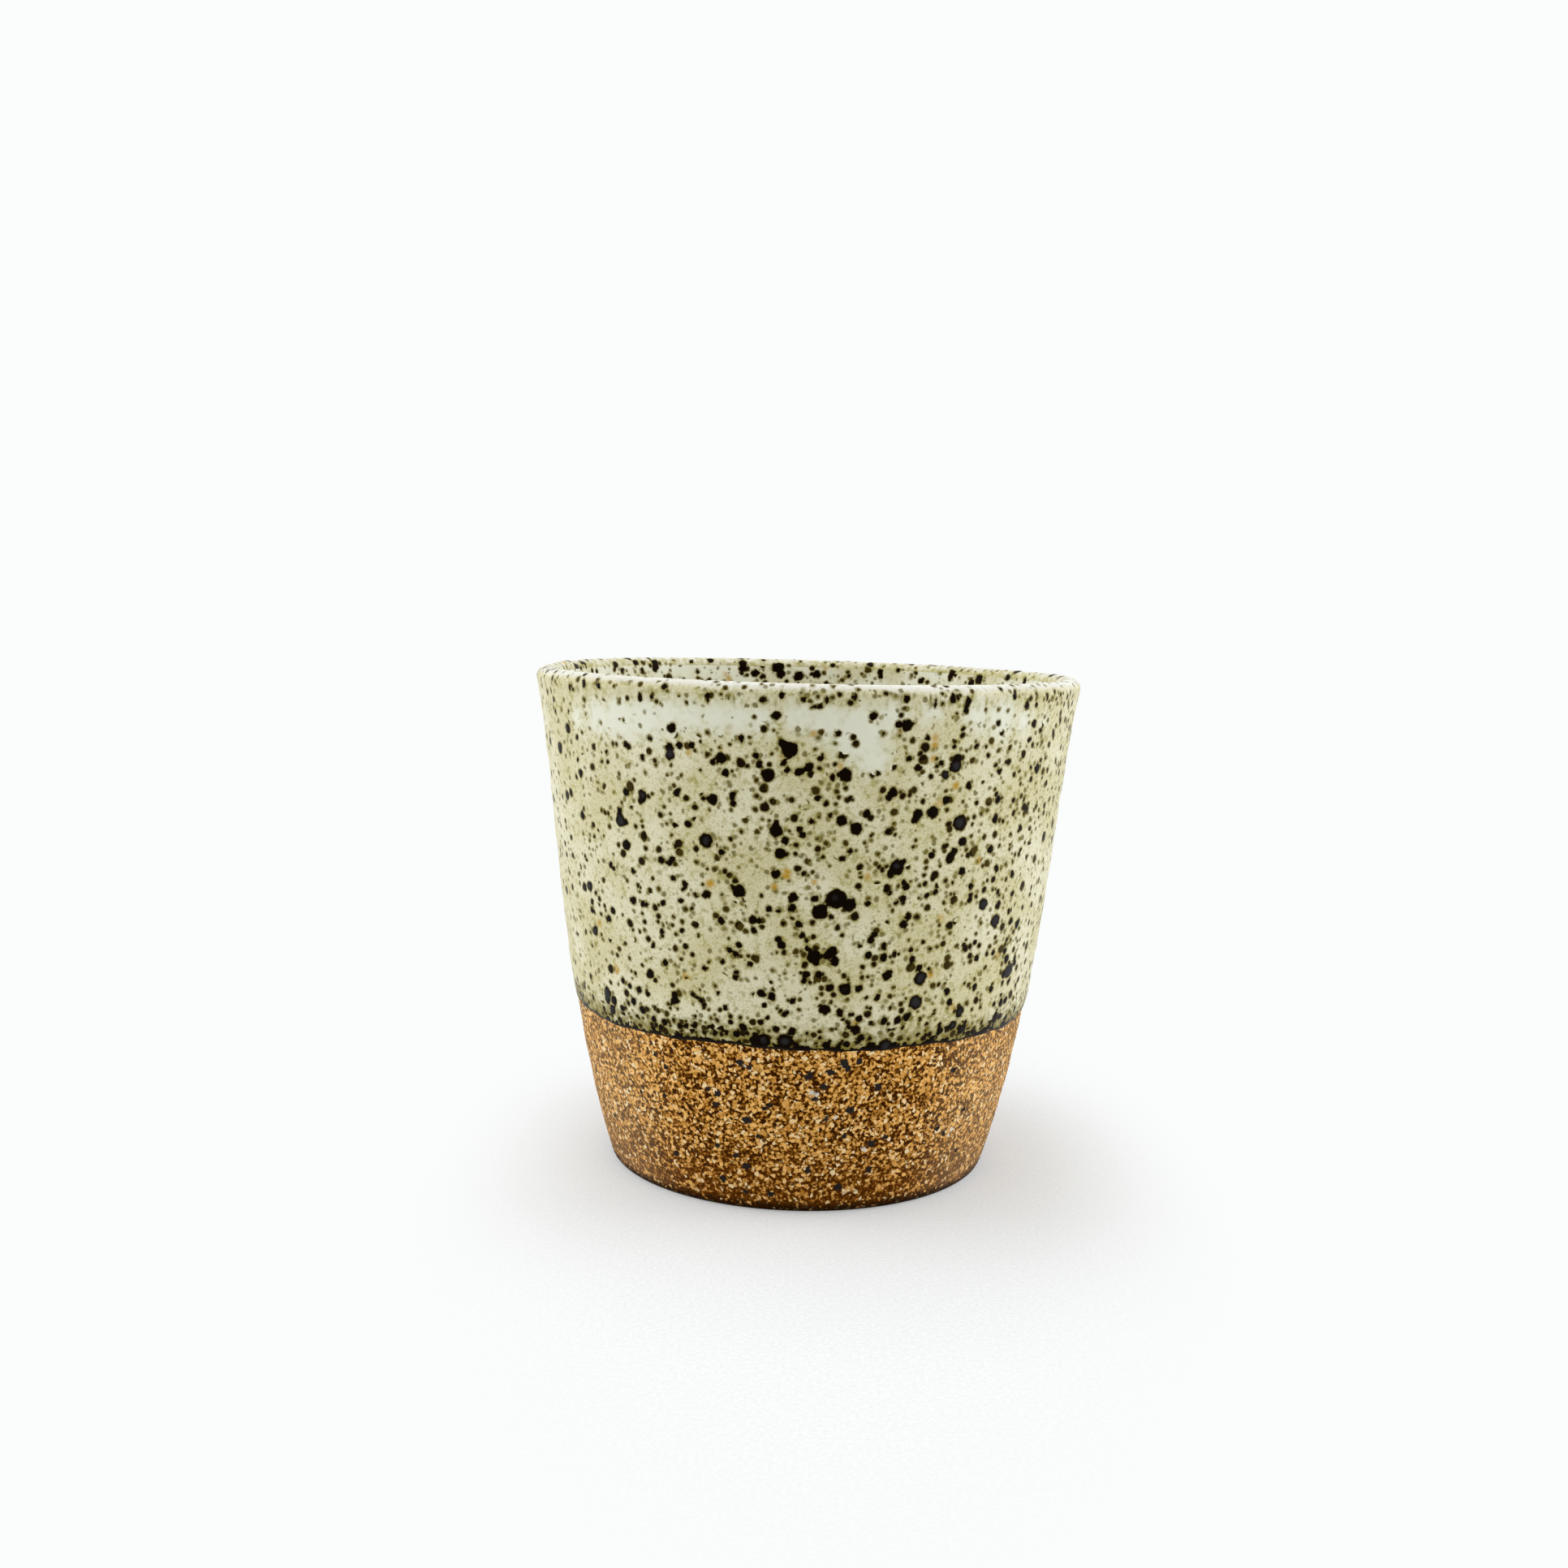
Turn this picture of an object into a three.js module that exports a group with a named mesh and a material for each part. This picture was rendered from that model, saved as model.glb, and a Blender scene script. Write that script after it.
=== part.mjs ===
// A soba choko: a thrown stoneware cup that tapers to a plain foot, bare clay at the foot and glazed above.
// Millimetres, +Z up. The cup stands on z = 0 and was turned about the Z axis.
import * as THREE from 'three';

// Finished outside sizes
const CUP_HEIGHT = 75;
const RIM_DIAMETER = 82;
const FOOT_DIAMETER = 57.2;
const FOOT_EDGE_ROUND = 0.8;

// The outside leaves the foot and reaches the lip at these leans from the vertical.
// A longer sweep holds that lean further along the wall.
const FOOT_LEAN = THREE.MathUtils.degToRad(18.5);
const FOOT_SWEEP = 26;
const LIP_LEAN = THREE.MathUtils.degToRad(12);
const LIP_SWEEP = 14;

// Thickness of the clay, and the round that joins the inside wall to the floor
const LIP_THICKNESS = 2.5;
const WALL_THICKNESS = 4.2;
const FLOOR_THICKNESS = 5;
const INNER_CORNER = 9;

// Shallow hollow trimmed under the foot, which leaves a flat ring to stand on
const HOLLOW_DIAMETER = 40;
const HOLLOW_DEPTH = 1.2;
const HOLLOW_SLOPE = 5;

// Coats of glaze. The outer one was dipped as far as the line and thins out over its last stretch.
const GLAZE_THICKNESS = 0.3;
const GLAZE_LINE = 24.9;
const GLAZE_EDGE = 3;

// Facets round the cup and along each stretch of the profile
const TURN_FACETS = 60;
const HOLLOW_STEPS = 4;
const FOOT_EDGE_STEPS = 3;
const BARE_WALL_STEPS = 5;
const GLAZE_EDGE_STEPS = 3;
const GLAZED_WALL_STEPS = 8;
const LIP_STEPS = 8;
const INNER_WALL_STEPS = 9;
const INNER_CORNER_STEPS = 5;

const clay = new THREE.MeshStandardMaterial({ color: 0xb0834f, roughness: 0.9, metalness: 0 });
const dippedGlaze = new THREE.MeshStandardMaterial({ color: 0xccc8aa, roughness: 0.32, metalness: 0 });
const pouredGlaze = new THREE.MeshStandardMaterial({ color: 0xcdc9ad, roughness: 0.3, metalness: 0 });

// Profiles are drawn with x as the radius and y as the height, up the outside,
// over the lip, down the inside and along the floor to the axis.
const pointAt = (x, y) => new THREE.Vector2(x, y);
const uphill = (lean) => pointAt(Math.sin(lean), Math.cos(lean));
const along = (start, direction, distance) => start.clone().addScaledVector(direction, distance);

// Where a wall that rises all the way reaches a height, as its curve parameter
function parameterAtHeight(wall, height) {
  let low = 0;
  let high = 1;
  for (let halving = 0; halving < 40; halving += 1) {
    const middle = (low + high) / 2;
    if (wall.getPoint(middle).y < height) low = middle;
    else high = middle;
  }
  return (low + high) / 2;
}

// Shares of the full coat along a stretch of wall
const fullCoat = () => 1;
const roundedEdge = (share) => Math.sqrt(1 - (1 - share) ** 2);

// Points along part of a curve, each with the way out of the clay and the thickness of the coat there
function walk(curve, steps, from = 0, to = 1, shareOfCoat = fullCoat) {
  const places = [];
  for (let step = 0; step <= steps; step += 1) {
    const share = step / steps;
    const parameter = from + (to - from) * share;
    const tangent = curve.getTangent(parameter);
    places.push({
      point: curve.getPoint(parameter),
      outward: pointAt(tangent.y, -tangent.x),
      coat: GLAZE_THICKNESS * shareOfCoat(share),
    });
  }
  return places;
}

// Stretches laid end to end, without the point that each shares with the one before
function chain(first, ...others) {
  return [first, ...others.map((stretch) => stretch.slice(1))].flat();
}

const clayFace = (places) => places.map((place) => place.point);
const glazeFace = (places) => places.map((place) => along(place.point, place.outward, place.coat));

function turned(profile, name, material) {
  const geometry = new THREE.LatheGeometry(profile, TURN_FACETS).rotateX(Math.PI / 2);
  const mesh = new THREE.Mesh(geometry, material);
  mesh.name = name;
  return mesh;
}

// Lip of the clay: half a circle across the wall, square to its lean
const lipRadius = LIP_THICKNESS / 2;
const lipCentre = pointAt(
  RIM_DIAMETER / 2 - GLAZE_THICKNESS - lipRadius,
  CUP_HEIGHT - GLAZE_THICKNESS - lipRadius,
);
const lip = new THREE.EllipseCurve(
  lipCentre.x, lipCentre.y, lipRadius, lipRadius, -LIP_LEAN, Math.PI - LIP_LEAN,
);

// Outside of the clay wall, from the table to the lip
const footRadius = FOOT_DIAMETER / 2;
const wallStart = pointAt(footRadius, 0);
const wallEnd = lip.getPoint(0);
const outerWall = new THREE.CubicBezierCurve(
  wallStart,
  along(wallStart, uphill(FOOT_LEAN), FOOT_SWEEP),
  along(wallEnd, uphill(LIP_LEAN), -LIP_SWEEP),
  wallEnd,
);

// Inside of the clay: down the wall to the round, then along the floor to the axis
const floorHeight = HOLLOW_DEPTH + FLOOR_THICKNESS;
const cornerLevel = parameterAtHeight(outerWall, floorHeight + INNER_CORNER);
const wallBesideCorner = outerWall.getPoint(cornerLevel);
const cornerRise = outerWall.getTangent(cornerLevel);
const innerTop = lip.getPoint(1);
const cornerTop = pointAt(wallBesideCorner.x - WALL_THICKNESS, wallBesideCorner.y);
const innerSweep = (innerTop.y - cornerTop.y) / 3;
const innerWall = new THREE.CubicBezierCurve(
  innerTop,
  along(innerTop, uphill(LIP_LEAN), -innerSweep),
  along(cornerTop, cornerRise, innerSweep),
  cornerTop,
);
const cornerPoint = along(cornerTop, cornerRise, -INNER_CORNER / cornerRise.y);
const floorEdge = pointAt(cornerPoint.x - INNER_CORNER, floorHeight);
const innerCorner = new THREE.QuadraticBezierCurve(cornerTop, cornerPoint, floorEdge);
const floor = new THREE.LineCurve(floorEdge, pointAt(0, floorHeight));

// Underside: the trimmed hollow, the flat standing ring and the softened edge of the foot
const hollowRadius = HOLLOW_DIAMETER / 2;
const hollow = new THREE.QuadraticBezierCurve(
  pointAt(hollowRadius - HOLLOW_SLOPE, HOLLOW_DEPTH),
  pointAt(hollowRadius - HOLLOW_DEPTH, HOLLOW_DEPTH),
  pointAt(hollowRadius, 0),
);
const footEdgeTop = parameterAtHeight(outerWall, FOOT_EDGE_ROUND);
const footEdge = new THREE.QuadraticBezierCurve(
  pointAt(footRadius - FOOT_EDGE_ROUND, 0),
  wallStart,
  outerWall.getPoint(footEdgeTop),
);

// Stretches of the clay's surface, which the coats of glaze share point for point
const lineLevel = parameterAtHeight(outerWall, GLAZE_LINE);
const fullCoatLevel = parameterAtHeight(outerWall, GLAZE_LINE + GLAZE_EDGE);
const bareWall = walk(outerWall, BARE_WALL_STEPS, footEdgeTop, lineLevel);
const dipped = chain(
  walk(outerWall, GLAZE_EDGE_STEPS, lineLevel, fullCoatLevel, roundedEdge),
  walk(outerWall, GLAZED_WALL_STEPS, fullCoatLevel, 1),
  walk(lip, LIP_STEPS),
);
const poured = chain(
  walk(innerWall, INNER_WALL_STEPS),
  walk(innerCorner, INNER_CORNER_STEPS),
  walk(floor, 1),
);

function stonewareBody() {
  const underside = [pointAt(0, HOLLOW_DEPTH), ...hollow.getPoints(HOLLOW_STEPS)];
  const edge = footEdge.getPoints(FOOT_EDGE_STEPS);
  const outside = clayFace(chain(bareWall, dipped, poured)).slice(1);
  return turned([...underside, ...edge, ...outside], 'stoneware_body', clay);
}

function outerGlaze() {
  const back = clayFace(dipped).reverse();
  return turned([...glazeFace(dipped), ...back], 'outer_glaze', dippedGlaze);
}

function linerGlaze() {
  const back = clayFace(poured).reverse();
  return turned([...back, ...glazeFace(poured)], 'liner_glaze', pouredGlaze);
}

const cup = new THREE.Group();
cup.name = 'soba_choko_cup';
cup.add(stonewareBody(), outerGlaze(), linerGlaze());

export default cup;
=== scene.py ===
"""A soba choko cup: speckled cream glaze over gritty stoneware, with a bare clay foot.

Metres, +Z up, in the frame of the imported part. The photographed side faces -Y.
"""

import math

import bpy
import numpy as np
from mathutils import Matrix, Vector


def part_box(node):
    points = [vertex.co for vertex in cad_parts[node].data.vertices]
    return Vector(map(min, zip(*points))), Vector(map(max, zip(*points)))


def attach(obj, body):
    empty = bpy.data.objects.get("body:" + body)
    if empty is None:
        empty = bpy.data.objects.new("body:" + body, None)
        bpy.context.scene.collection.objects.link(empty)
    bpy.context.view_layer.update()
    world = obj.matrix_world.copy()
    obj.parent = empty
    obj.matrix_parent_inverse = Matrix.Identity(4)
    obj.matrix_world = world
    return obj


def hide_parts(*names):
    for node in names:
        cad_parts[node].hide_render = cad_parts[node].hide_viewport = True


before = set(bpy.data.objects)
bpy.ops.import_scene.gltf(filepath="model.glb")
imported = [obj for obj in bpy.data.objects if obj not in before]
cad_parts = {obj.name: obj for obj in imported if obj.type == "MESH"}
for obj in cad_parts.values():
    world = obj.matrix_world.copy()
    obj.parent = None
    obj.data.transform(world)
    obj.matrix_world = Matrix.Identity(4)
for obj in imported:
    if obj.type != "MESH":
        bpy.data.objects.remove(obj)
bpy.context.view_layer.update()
MM = 0.001

# Stand in for nought where a length is divided by, or a logarithm is taken
TINY = 1e-9
NEARLY_NOTHING = 1e-18

# The photograph, the camera that took it, and the stretch of its line of sight that is searched
PHOTO_PIXELS = 1932
SENSOR_WIDTH = 36.0
LENS = 38.1
CAMERA_PLACE = Vector((0, -253.76, 86.41)) * MM
CAMERA_YAW = math.radians(0.746)
CAMERA_PITCH = math.radians(6.535)
CAMERA_ROLL = math.radians(1.409)
SIGHT_FROM = 200 * MM
SIGHT_TO = 320 * MM
SIGHT_STEPS = 6000

# Sizes of the cup that the frame gives
glaze_low, glaze_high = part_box("outer_glaze")
CUP_HEIGHT = glaze_high.z
RIM_RADIUS = glaze_high.x
GLAZE_LINE = glaze_low.z

# Sizes of the cup as in the part's source
FOOT_RADIUS = 28.6 * MM
FOOT_EDGE_ROUND = 0.8 * MM
FOOT_LEAN = math.radians(18.5)
FOOT_SWEEP = 26 * MM
LIP_LEAN = math.radians(12)
LIP_SWEEP = 14 * MM
LIP_THICKNESS = 2.5 * MM
WALL_THICKNESS = 4.2 * MM
FLOOR_THICKNESS = 5 * MM
INNER_CORNER = 9 * MM
HOLLOW_RADIUS = 20 * MM
HOLLOW_DEPTH = 1.2 * MM
HOLLOW_SLOPE = 5 * MM
GLAZE_THICKNESS = 0.3 * MM
GLAZE_EDGE = 3 * MM

# How finely the lines are drawn and each piece is turned, and how far apart its rings are
CURVE_POINTS = 300
LIP_POINTS = 80
FLOOR_POINTS = 40
HOLLOW_POINTS = 30
OUTER_FACETS = 624
LINER_FACETS = 400
CLAY_FACETS = 600
OUTER_RINGS = 0.4 * MM
LINER_RINGS = 0.65 * MM
CLAY_RINGS = 0.27 * MM
UNDERSIDE_RINGS = 0.8 * MM
HIDDEN_RINGS = 5 * MM
SEAM_MERGE = 0.001 * MM
DOUBLES_MERGE = 0.002 * MM
SMOOTH_ANGLE = math.radians(50)

# What a hand on the wheel leaves uneven, and the heights and radii between which it starts and fades
RIM_TILT = 0.24 * MM
RIM_OVAL = 0.1 * MM
THROWING_RIPPLE = 0.035 * MM
RIPPLE_PITCH = 6.5 * MM
RIPPLE_STARTS = (2 * MM, 12 * MM)
RIPPLE_FADES = (66 * MM, CUP_HEIGHT)
UNEVEN_FROM = (15 * MM, 28 * MM)

# The wandering glaze line, the pale band under the rim, and the relief of blooms and grit
LINE_WAVE = 0.18 * MM
LINE_WAVE_REACH = 6 * MM
PALE_BAND = 8 * MM
PALE_BAND_WAVE = 2 * MM
SHOULDER_DROP = 3.5 * MM
BLOOM_RELIEF = 0.05 * MM
GRIT_SIZE = 0.5 * MM
GRIT_RELIEF = 0.16 * MM
GRIT_LEVELS = 10

# The bare wall runs up a little under the glaze, and the clay above it draws in behind the coat
CLAY_TUCK = 1.2 * MM
CLAY_UNDER_GLAZE = 0.06 * MM
DRAW_IN_POINTS = 20

# Spots at random where the photograph does not reach: how many, and the seed that throws them
HIDDEN_BLOOMS = (330, 11)
HIDDEN_STAINS = (50, 23)
HIDDEN_HEARTS = (60, 59)
HIDDEN_GRAINS = (90, 71)
LINER_BLOOMS = (480, 37)
LINER_STAINS = (70, 41)

# The photograph shows the outside as far back as this share of its radius, and the inside this far down
SEEN_BACK_TO = 0.12
STRIP_SEEN_INSIDE = 10 * MM

# Spots at random: radius in millimetres, and the share that have a smaller twin
SPOT_RADIUS = 0.48
SPOT_SPREAD = 0.36
SMALLEST_SPOT = 0.3
LARGEST_SPOT = 1.5
TWIN_SHARE = 0.35
TWIN_SHIFT = 0.9
TWIN_SIZES = (0.5, 0.9)

# How near spots flow together, how far off they still count, and the spots that make up a dash
SPOT_FLOW = 0.07 * MM
SPOT_FAR = 3 * MM
DASH_SPOTS = 4

# Share of the small specks round the glaze, from the left side of the cup at -1 to the right at 1
CROWD_SIDES = (-0.95, -0.5, 0, 0.3, 0.65, 0.9)
CROWD_SHARES = (0.6, 0.85, 1, 1, 1.7, 0.9)

# The unrolled map: its side margin, its two rows, and the strip for faces that nothing shows
MAP_MARGIN = 0.005
MAP_ROW = 0.49
MAP_ROW_USED = 0.48
HIDDEN_STRIP = 0.985
HIDDEN_ROW = 0.006
HIDDEN_ROW_USED = 0.005

# Dark iron blooms in the glaze, from the photograph: pixels across and down, and radius
BLOOMS_UNDER_RIM = [
    (700, 898, 6), (691, 921, 7), (716, 953, 5), (748, 927, 3), (771, 917, 4), (792, 934, 4),
    (801, 909, 3.5), (828, 897, 6), (825, 921, 5.5), (825, 931, 6), (838, 918, 5), (851, 918, 4.5),
    (878, 939, 4.5), (889, 934, 7), (894, 952, 4.5), (913, 910, 4.5), (931, 931, 4), (936, 942, 4.5),
    (941, 863, 4.5), (946, 955, 8.5), (956, 881, 5.5), (963, 850, 3.5), (964, 857, 4), (964, 916, 6),
    (973, 924, 10), (965, 940, 3.5), (970, 949, 3.5), (984, 951, 5), (989, 853, 4.5), (990, 861, 4),
    (997, 946, 6), (1011, 935, 4), (1010, 871, 3), (1001, 872, 3), (1026, 958, 4), (1032, 904, 4),
    (1042, 955, 8.5), (1077, 882, 5), (1082, 953, 3), (1108, 892, 5), (1117, 894, 7), (1125, 891, 3.5),
    (1120, 935, 4.5), (1118, 862, 3.5), (1132, 946, 5), (1143, 909, 3.5), (1160, 941, 3.5),
    (1165, 955, 5.5), (1175, 863, 4), (1176, 920, 3.5), (1180, 935, 6.5), (1178, 944, 8.5),
    (1187, 898, 3.5), (1194, 863, 4.5), (1192, 870, 4.5), (1190, 877, 4), (1204, 919, 4),
    (1231, 851, 4.5), (1231, 891, 4), (1232, 950, 4), (1265, 870, 4), (1269, 911, 4), (1275, 892, 5),
    (1278, 947, 6),
]
BLOOMS_ACROSS_MIDDLE = [
    (704, 976, 5), (718, 1004, 5), (772, 976, 5), (792, 980, 7), (790, 987, 4), (764, 999, 4.5),
    (765, 1011, 8), (771, 1013, 4), (834, 977, 5), (848, 1015, 5), (832, 1017, 3.5), (772, 1041, 6.5),
    (878, 985, 7), (866, 983, 3.5), (903, 980, 4), (903, 990, 4), (870, 1036, 9), (956, 1024, 8.5),
    (956, 1014, 3.5), (968, 1036, 4.5), (985, 1022, 4), (989, 1028, 4), (1000, 1012, 4),
    (1008, 983, 4.5), (1018, 989, 4), (1037, 1011, 7), (1055, 1021, 8), (1068, 1003, 6), (1095, 983, 4),
    (1100, 977, 6), (1095, 1024, 4.5), (1132, 1003, 7), (1127, 1011, 4.5), (1150, 1001, 8),
    (1166, 986, 5.5), (1183, 1014, 10.5), (1186, 1037, 6), (1194, 968, 5), (1230, 985, 5),
    (1227, 1009, 5), (1257, 1020, 4), (1221, 1047, 5.5), (1286, 1031, 6), (889, 1051, 4), (962, 1051, 7),
    (1038, 1058, 4), (1047, 1049, 3.5), (1148, 1054, 4), (1175, 1049, 4.5), (1171, 1058, 6.5),
    (816, 1060, 5), (825, 1062, 4), (829, 1058, 3.5), (753, 1066, 4.5), (781, 1073, 3.5), (829, 1082, 4),
    (844, 1089, 4), (841, 1096, 3.5), (727, 1092, 6), (956, 1077, 5.5), (991, 1077, 3.5),
    (1105, 1069, 10), (1097, 1077, 5), (1112, 1063, 4.5), (1093, 1095, 5), (1096, 1101, 3.5),
    (1114, 1087, 3.5), (1117, 1093, 4.5), (1113, 1107, 4.5), (1104, 1113, 3.5), (1150, 1082, 3.5),
    (1186, 1074, 5), (1197, 1092, 4), (1153, 1099, 3.5), (1142, 1104, 3.5), (1228, 1070, 4.5),
    (1247, 1077, 4.5), (1230, 1099, 4), (911, 1098, 8), (903, 1093, 3.5), (870, 1102, 5),
    (857, 1102, 3.5), (977, 1106, 6), (975, 1119, 5), (947, 1120, 3.5), (960, 1122, 3.5),
    (1004, 1108, 4.5), (1010, 1124, 9.5), (1024, 1130, 3.5), (1030, 1108, 12.5), (1046, 1115, 9),
    (1069, 1113, 4),
]
BLOOMS_BELOW_MIDDLE = [
    (730, 1111, 4), (730, 1121, 4), (755, 1122, 4.5), (750, 1132, 5), (780, 1109, 5), (792, 1114, 3.5),
    (797, 1114, 3.5), (817, 1113, 4), (839, 1110, 3.5), (816, 1148, 4), (840, 1146, 3.5),
    (805, 1165, 3.5), (820, 1186, 4.5), (801, 1200, 6), (734, 1147, 6), (888, 1134, 5), (927, 1133, 5),
    (936, 1134, 4), (929, 1146, 4), (984, 1139, 5), (988, 1152, 4), (994, 1159, 3.5), (959, 1157, 4),
    (963, 1164, 5), (910, 1165, 4), (899, 1171, 4.5), (907, 1177, 4), (891, 1184, 3.5), (924, 1188, 3.5),
    (995, 1169, 3.5), (1003, 1179, 8.5), (1006, 1186, 4.5), (1025, 1173, 7), (1019, 1178, 5),
    (1029, 1185, 5.5), (868, 1193, 3.5), (908, 1197, 3.5), (907, 1204, 4), (993, 1201, 4.5),
    (990, 1208, 4), (1008, 1200, 4.5), (1022, 1217, 5.5), (1041, 1219, 8), (1058, 1218, 5),
    (1119, 1129, 4.5), (1113, 1139, 5.5), (1078, 1151, 4), (1073, 1158, 5), (1059, 1166, 3.5),
    (1089, 1166, 4.5), (1070, 1177, 4.5), (1089, 1180, 5.5), (1123, 1170, 3.5), (1124, 1183, 4.5),
    (1134, 1205, 8.5), (1133, 1192, 4), (1093, 1202, 6), (1196, 1103, 3.5), (1195, 1109, 3.5),
    (1212, 1114, 7.5), (1226, 1134, 8), (1245, 1135, 5), (1253, 1138, 6), (1201, 1161, 3.5),
    (1203, 1181, 4), (1224, 1173, 3.5), (1243, 1196, 9), (1240, 1182, 5.5), (1238, 1172, 4),
    (1250, 1180, 3.5), (1250, 1187, 3.5), (1243, 1209, 4), (1237, 1200, 5.5), (768, 1208, 4),
    (776, 1215, 3.5), (788, 1220, 4), (798, 1225, 3.5), (749, 1222, 7), (749, 1230, 6), (757, 1232, 5),
    (781, 1234, 4.5), (831, 1232, 5.5), (831, 1225, 3.5), (938, 1224, 5), (951, 1228, 5),
    (942, 1239, 3.5), (977, 1233, 4), (1081, 1229, 4), (1128, 1235, 9), (1167, 1222, 5),
    (1170, 1235, 4.5), (1201, 1216, 4), (1221, 1219, 4.5), (864, 1233, 3.5),
]
BLOOMS_ALONG_LINE = [
    (755, 1242, 6), (767, 1241, 4), (792, 1245, 5), (807, 1242, 3.5), (806, 1256, 4), (819, 1260, 4.5),
    (838, 1265, 4.5), (845, 1265, 4), (855, 1265, 4), (915, 1266, 5), (956, 1269, 4.5), (968, 1249, 4.5),
    (977, 1271, 5), (941, 1283, 9), (967, 1284, 10), (1016, 1244, 6.5), (1035, 1248, 5),
    (1059, 1256, 4.5), (1054, 1269, 5.5), (1061, 1279, 5), (1073, 1288, 6), (1091, 1287, 8.5),
    (1089, 1258, 5), (1106, 1257, 5), (1118, 1253, 5), (1158, 1271, 5), (1174, 1263, 6),
    (1182, 1246, 6.5), (1185, 1267, 6.5), (1226, 1253, 7), (1233, 1235, 5), (1239, 1231, 4.5),
]
SPECKS_ALONG_LINE = [
    (744, 1242, 3), (775, 1250, 2.4), (785, 1252, 2.4), (799, 1253, 2.8), (814, 1266, 3),
    (826, 1263, 2.4), (825, 1238, 2.6), (852, 1224, 2.6), (858, 1228, 2.6), (867, 1242, 2.6),
    (885, 1223, 3), (894, 1242, 3.2), (856, 1254, 2.8), (877, 1266, 3), (871, 1268, 2.6),
    (900, 1261, 3.2), (890, 1272, 2.8), (869, 1276, 2.8), (880, 1275, 3.4), (896, 1275, 3.6),
    (839, 1276, 3.6), (858, 1278, 3), (937, 1260, 3.2), (946, 1254, 2.6), (907, 1276, 5),
    (920, 1275, 3.2), (929, 1283, 6), (931, 1275, 3.2), (980, 1288, 3.6), (995, 1273, 3),
    (1011, 1280, 2.8), (993, 1293, 3), (1006, 1288, 2.8), (1017, 1288, 4.6), (1023, 1284, 2.8),
    (1034, 1286, 3.2), (1044, 1286, 4.2), (1049, 1250, 3.4), (1039, 1255, 2.6), (1046, 1265, 2.6),
    (1112, 1266, 3), (1145, 1254, 2.8), (1133, 1256, 2.6), (1151, 1249, 2.6), (1158, 1262, 2.8),
    (1169, 1267, 3.2), (1189, 1259, 2.8), (1095, 1269, 2.4), (1102, 1268, 2.4), (1114, 1287, 3.6),
    (1126, 1288, 3.8), (1140, 1276, 3.6), (1131, 1275, 2.6), (1148, 1281, 4.2), (1167, 1280, 3.6),
    (1198, 1271, 3.2), (1210, 1258, 2.8), (1208, 1266, 2.6), (1218, 1265, 3.8), (1067, 1230, 3),
    (1097, 1242, 2.4), (1073, 1242, 2.4), (1073, 1260, 2.4),
]
BLOOMS_INSIDE = [
    (709, 821, 3), (716, 824, 3), (722, 822, 2.5), (735, 828, 3), (758, 823, 3), (767, 828, 3.5),
    (775, 813, 3), (791, 828, 4), (807, 818, 5), (807, 825, 4.5), (852, 816, 3), (859, 828, 3),
    (875, 814, 4), (915, 817, 5), (915, 824, 4.5), (930, 830, 5), (939, 834, 4), (955, 823, 5),
    (960, 822, 6), (962, 831, 5), (984, 833, 6), (1006, 831, 5), (1085, 827, 3.5), (1085, 833, 3),
    (1135, 838, 4), (1173, 828, 4), (1171, 835, 3.5), (1206, 836, 6), (1196, 841, 5), (1241, 834, 4),
    (1262, 838, 4),
]

# Iron that ran down the shoulder of the lip in short dashes: pixels across and down, radius and length
DASHES_UNDER_LIP = [
    (703, 847, 1.8, 8), (720, 842, 2.2, 8), (738, 842, 3, 11), (763, 863, 1.8, 8), (789, 858, 2.3, 10),
    (803, 858, 1.8, 8), (820, 846, 4, 5), (872, 860, 2.8, 10), (897, 858, 1.6, 6), (1018, 863, 2.2, 9),
    (1053, 860, 2.2, 9), (1118, 860, 2.4, 7), (1153, 866, 1.6, 10), (1175, 860, 2.6, 11),
    (1251, 856, 2.4, 12), (1267, 867, 2.4, 13), (1278, 858, 2, 8), (1291, 858, 1.6, 8),
    (1300, 852, 1.6, 9), (1307, 884, 2.6, 14), (1298, 904, 2.4, 11), (1317, 866, 1.8, 11),
]

# Blooms whose middle has a grey metallic skin, its grey partly a painted sheen
METALLIC_HEARTS = [
    (825, 928, 7), (765, 1011, 7), (792, 980, 5), (749, 1225, 8), (755, 1242, 5), (870, 1036, 6),
    (1183, 1014, 8), (1178, 944, 7), (1212, 1114, 7), (1226, 1134, 8), (1243, 1193, 12), (1128, 1235, 8),
    (1134, 1205, 7), (1041, 1219, 4), (1030, 1106, 5), (1105, 1067, 5), (941, 1283, 6), (967, 1284, 7),
    (1091, 1287, 7), (1182, 1246, 5), (1185, 1267, 5), (1174, 1263, 5), (727, 1092, 5), (734, 1147, 5),
    (1165, 955, 5),
]

# Soft rust stains beside the blooms, and lobes of thick pale glaze under the rim, in the same pixels
RUST_STAINS = [
    (1152, 908, 4), (1152, 918, 5), (1110, 901, 4), (1151, 935, 5), (1178, 968, 5), (1157, 990, 5),
    (1003, 904, 4), (962, 934, 4), (1035, 944, 4), (848, 927, 4), (875, 1089, 6), (969, 1077, 7),
    (954, 1093, 5), (1003, 1086, 4), (1146, 1200, 6), (1159, 1133, 5), (1206, 1061, 5), (1069, 1080, 4),
    (739, 1138, 5), (759, 1194, 6), (845, 1203, 5), (1053, 1261, 4), (1174, 1241, 4), (1230, 1177, 5),
]
PALE_LOBES = [
    (712, 884, 12), (738, 884, 24), (765, 886, 30), (795, 884, 28), (825, 880, 24), (850, 882, 22),
    (880, 884, 22), (910, 886, 22), (935, 888, 20), (985, 884, 22), (1020, 892, 28), (1058, 905, 38),
    (1075, 935, 24), (1100, 882, 22), (1150, 876, 14), (1205, 882, 20), (1235, 884, 26), (1262, 888, 16),
    (1288, 886, 10),
]

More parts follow.
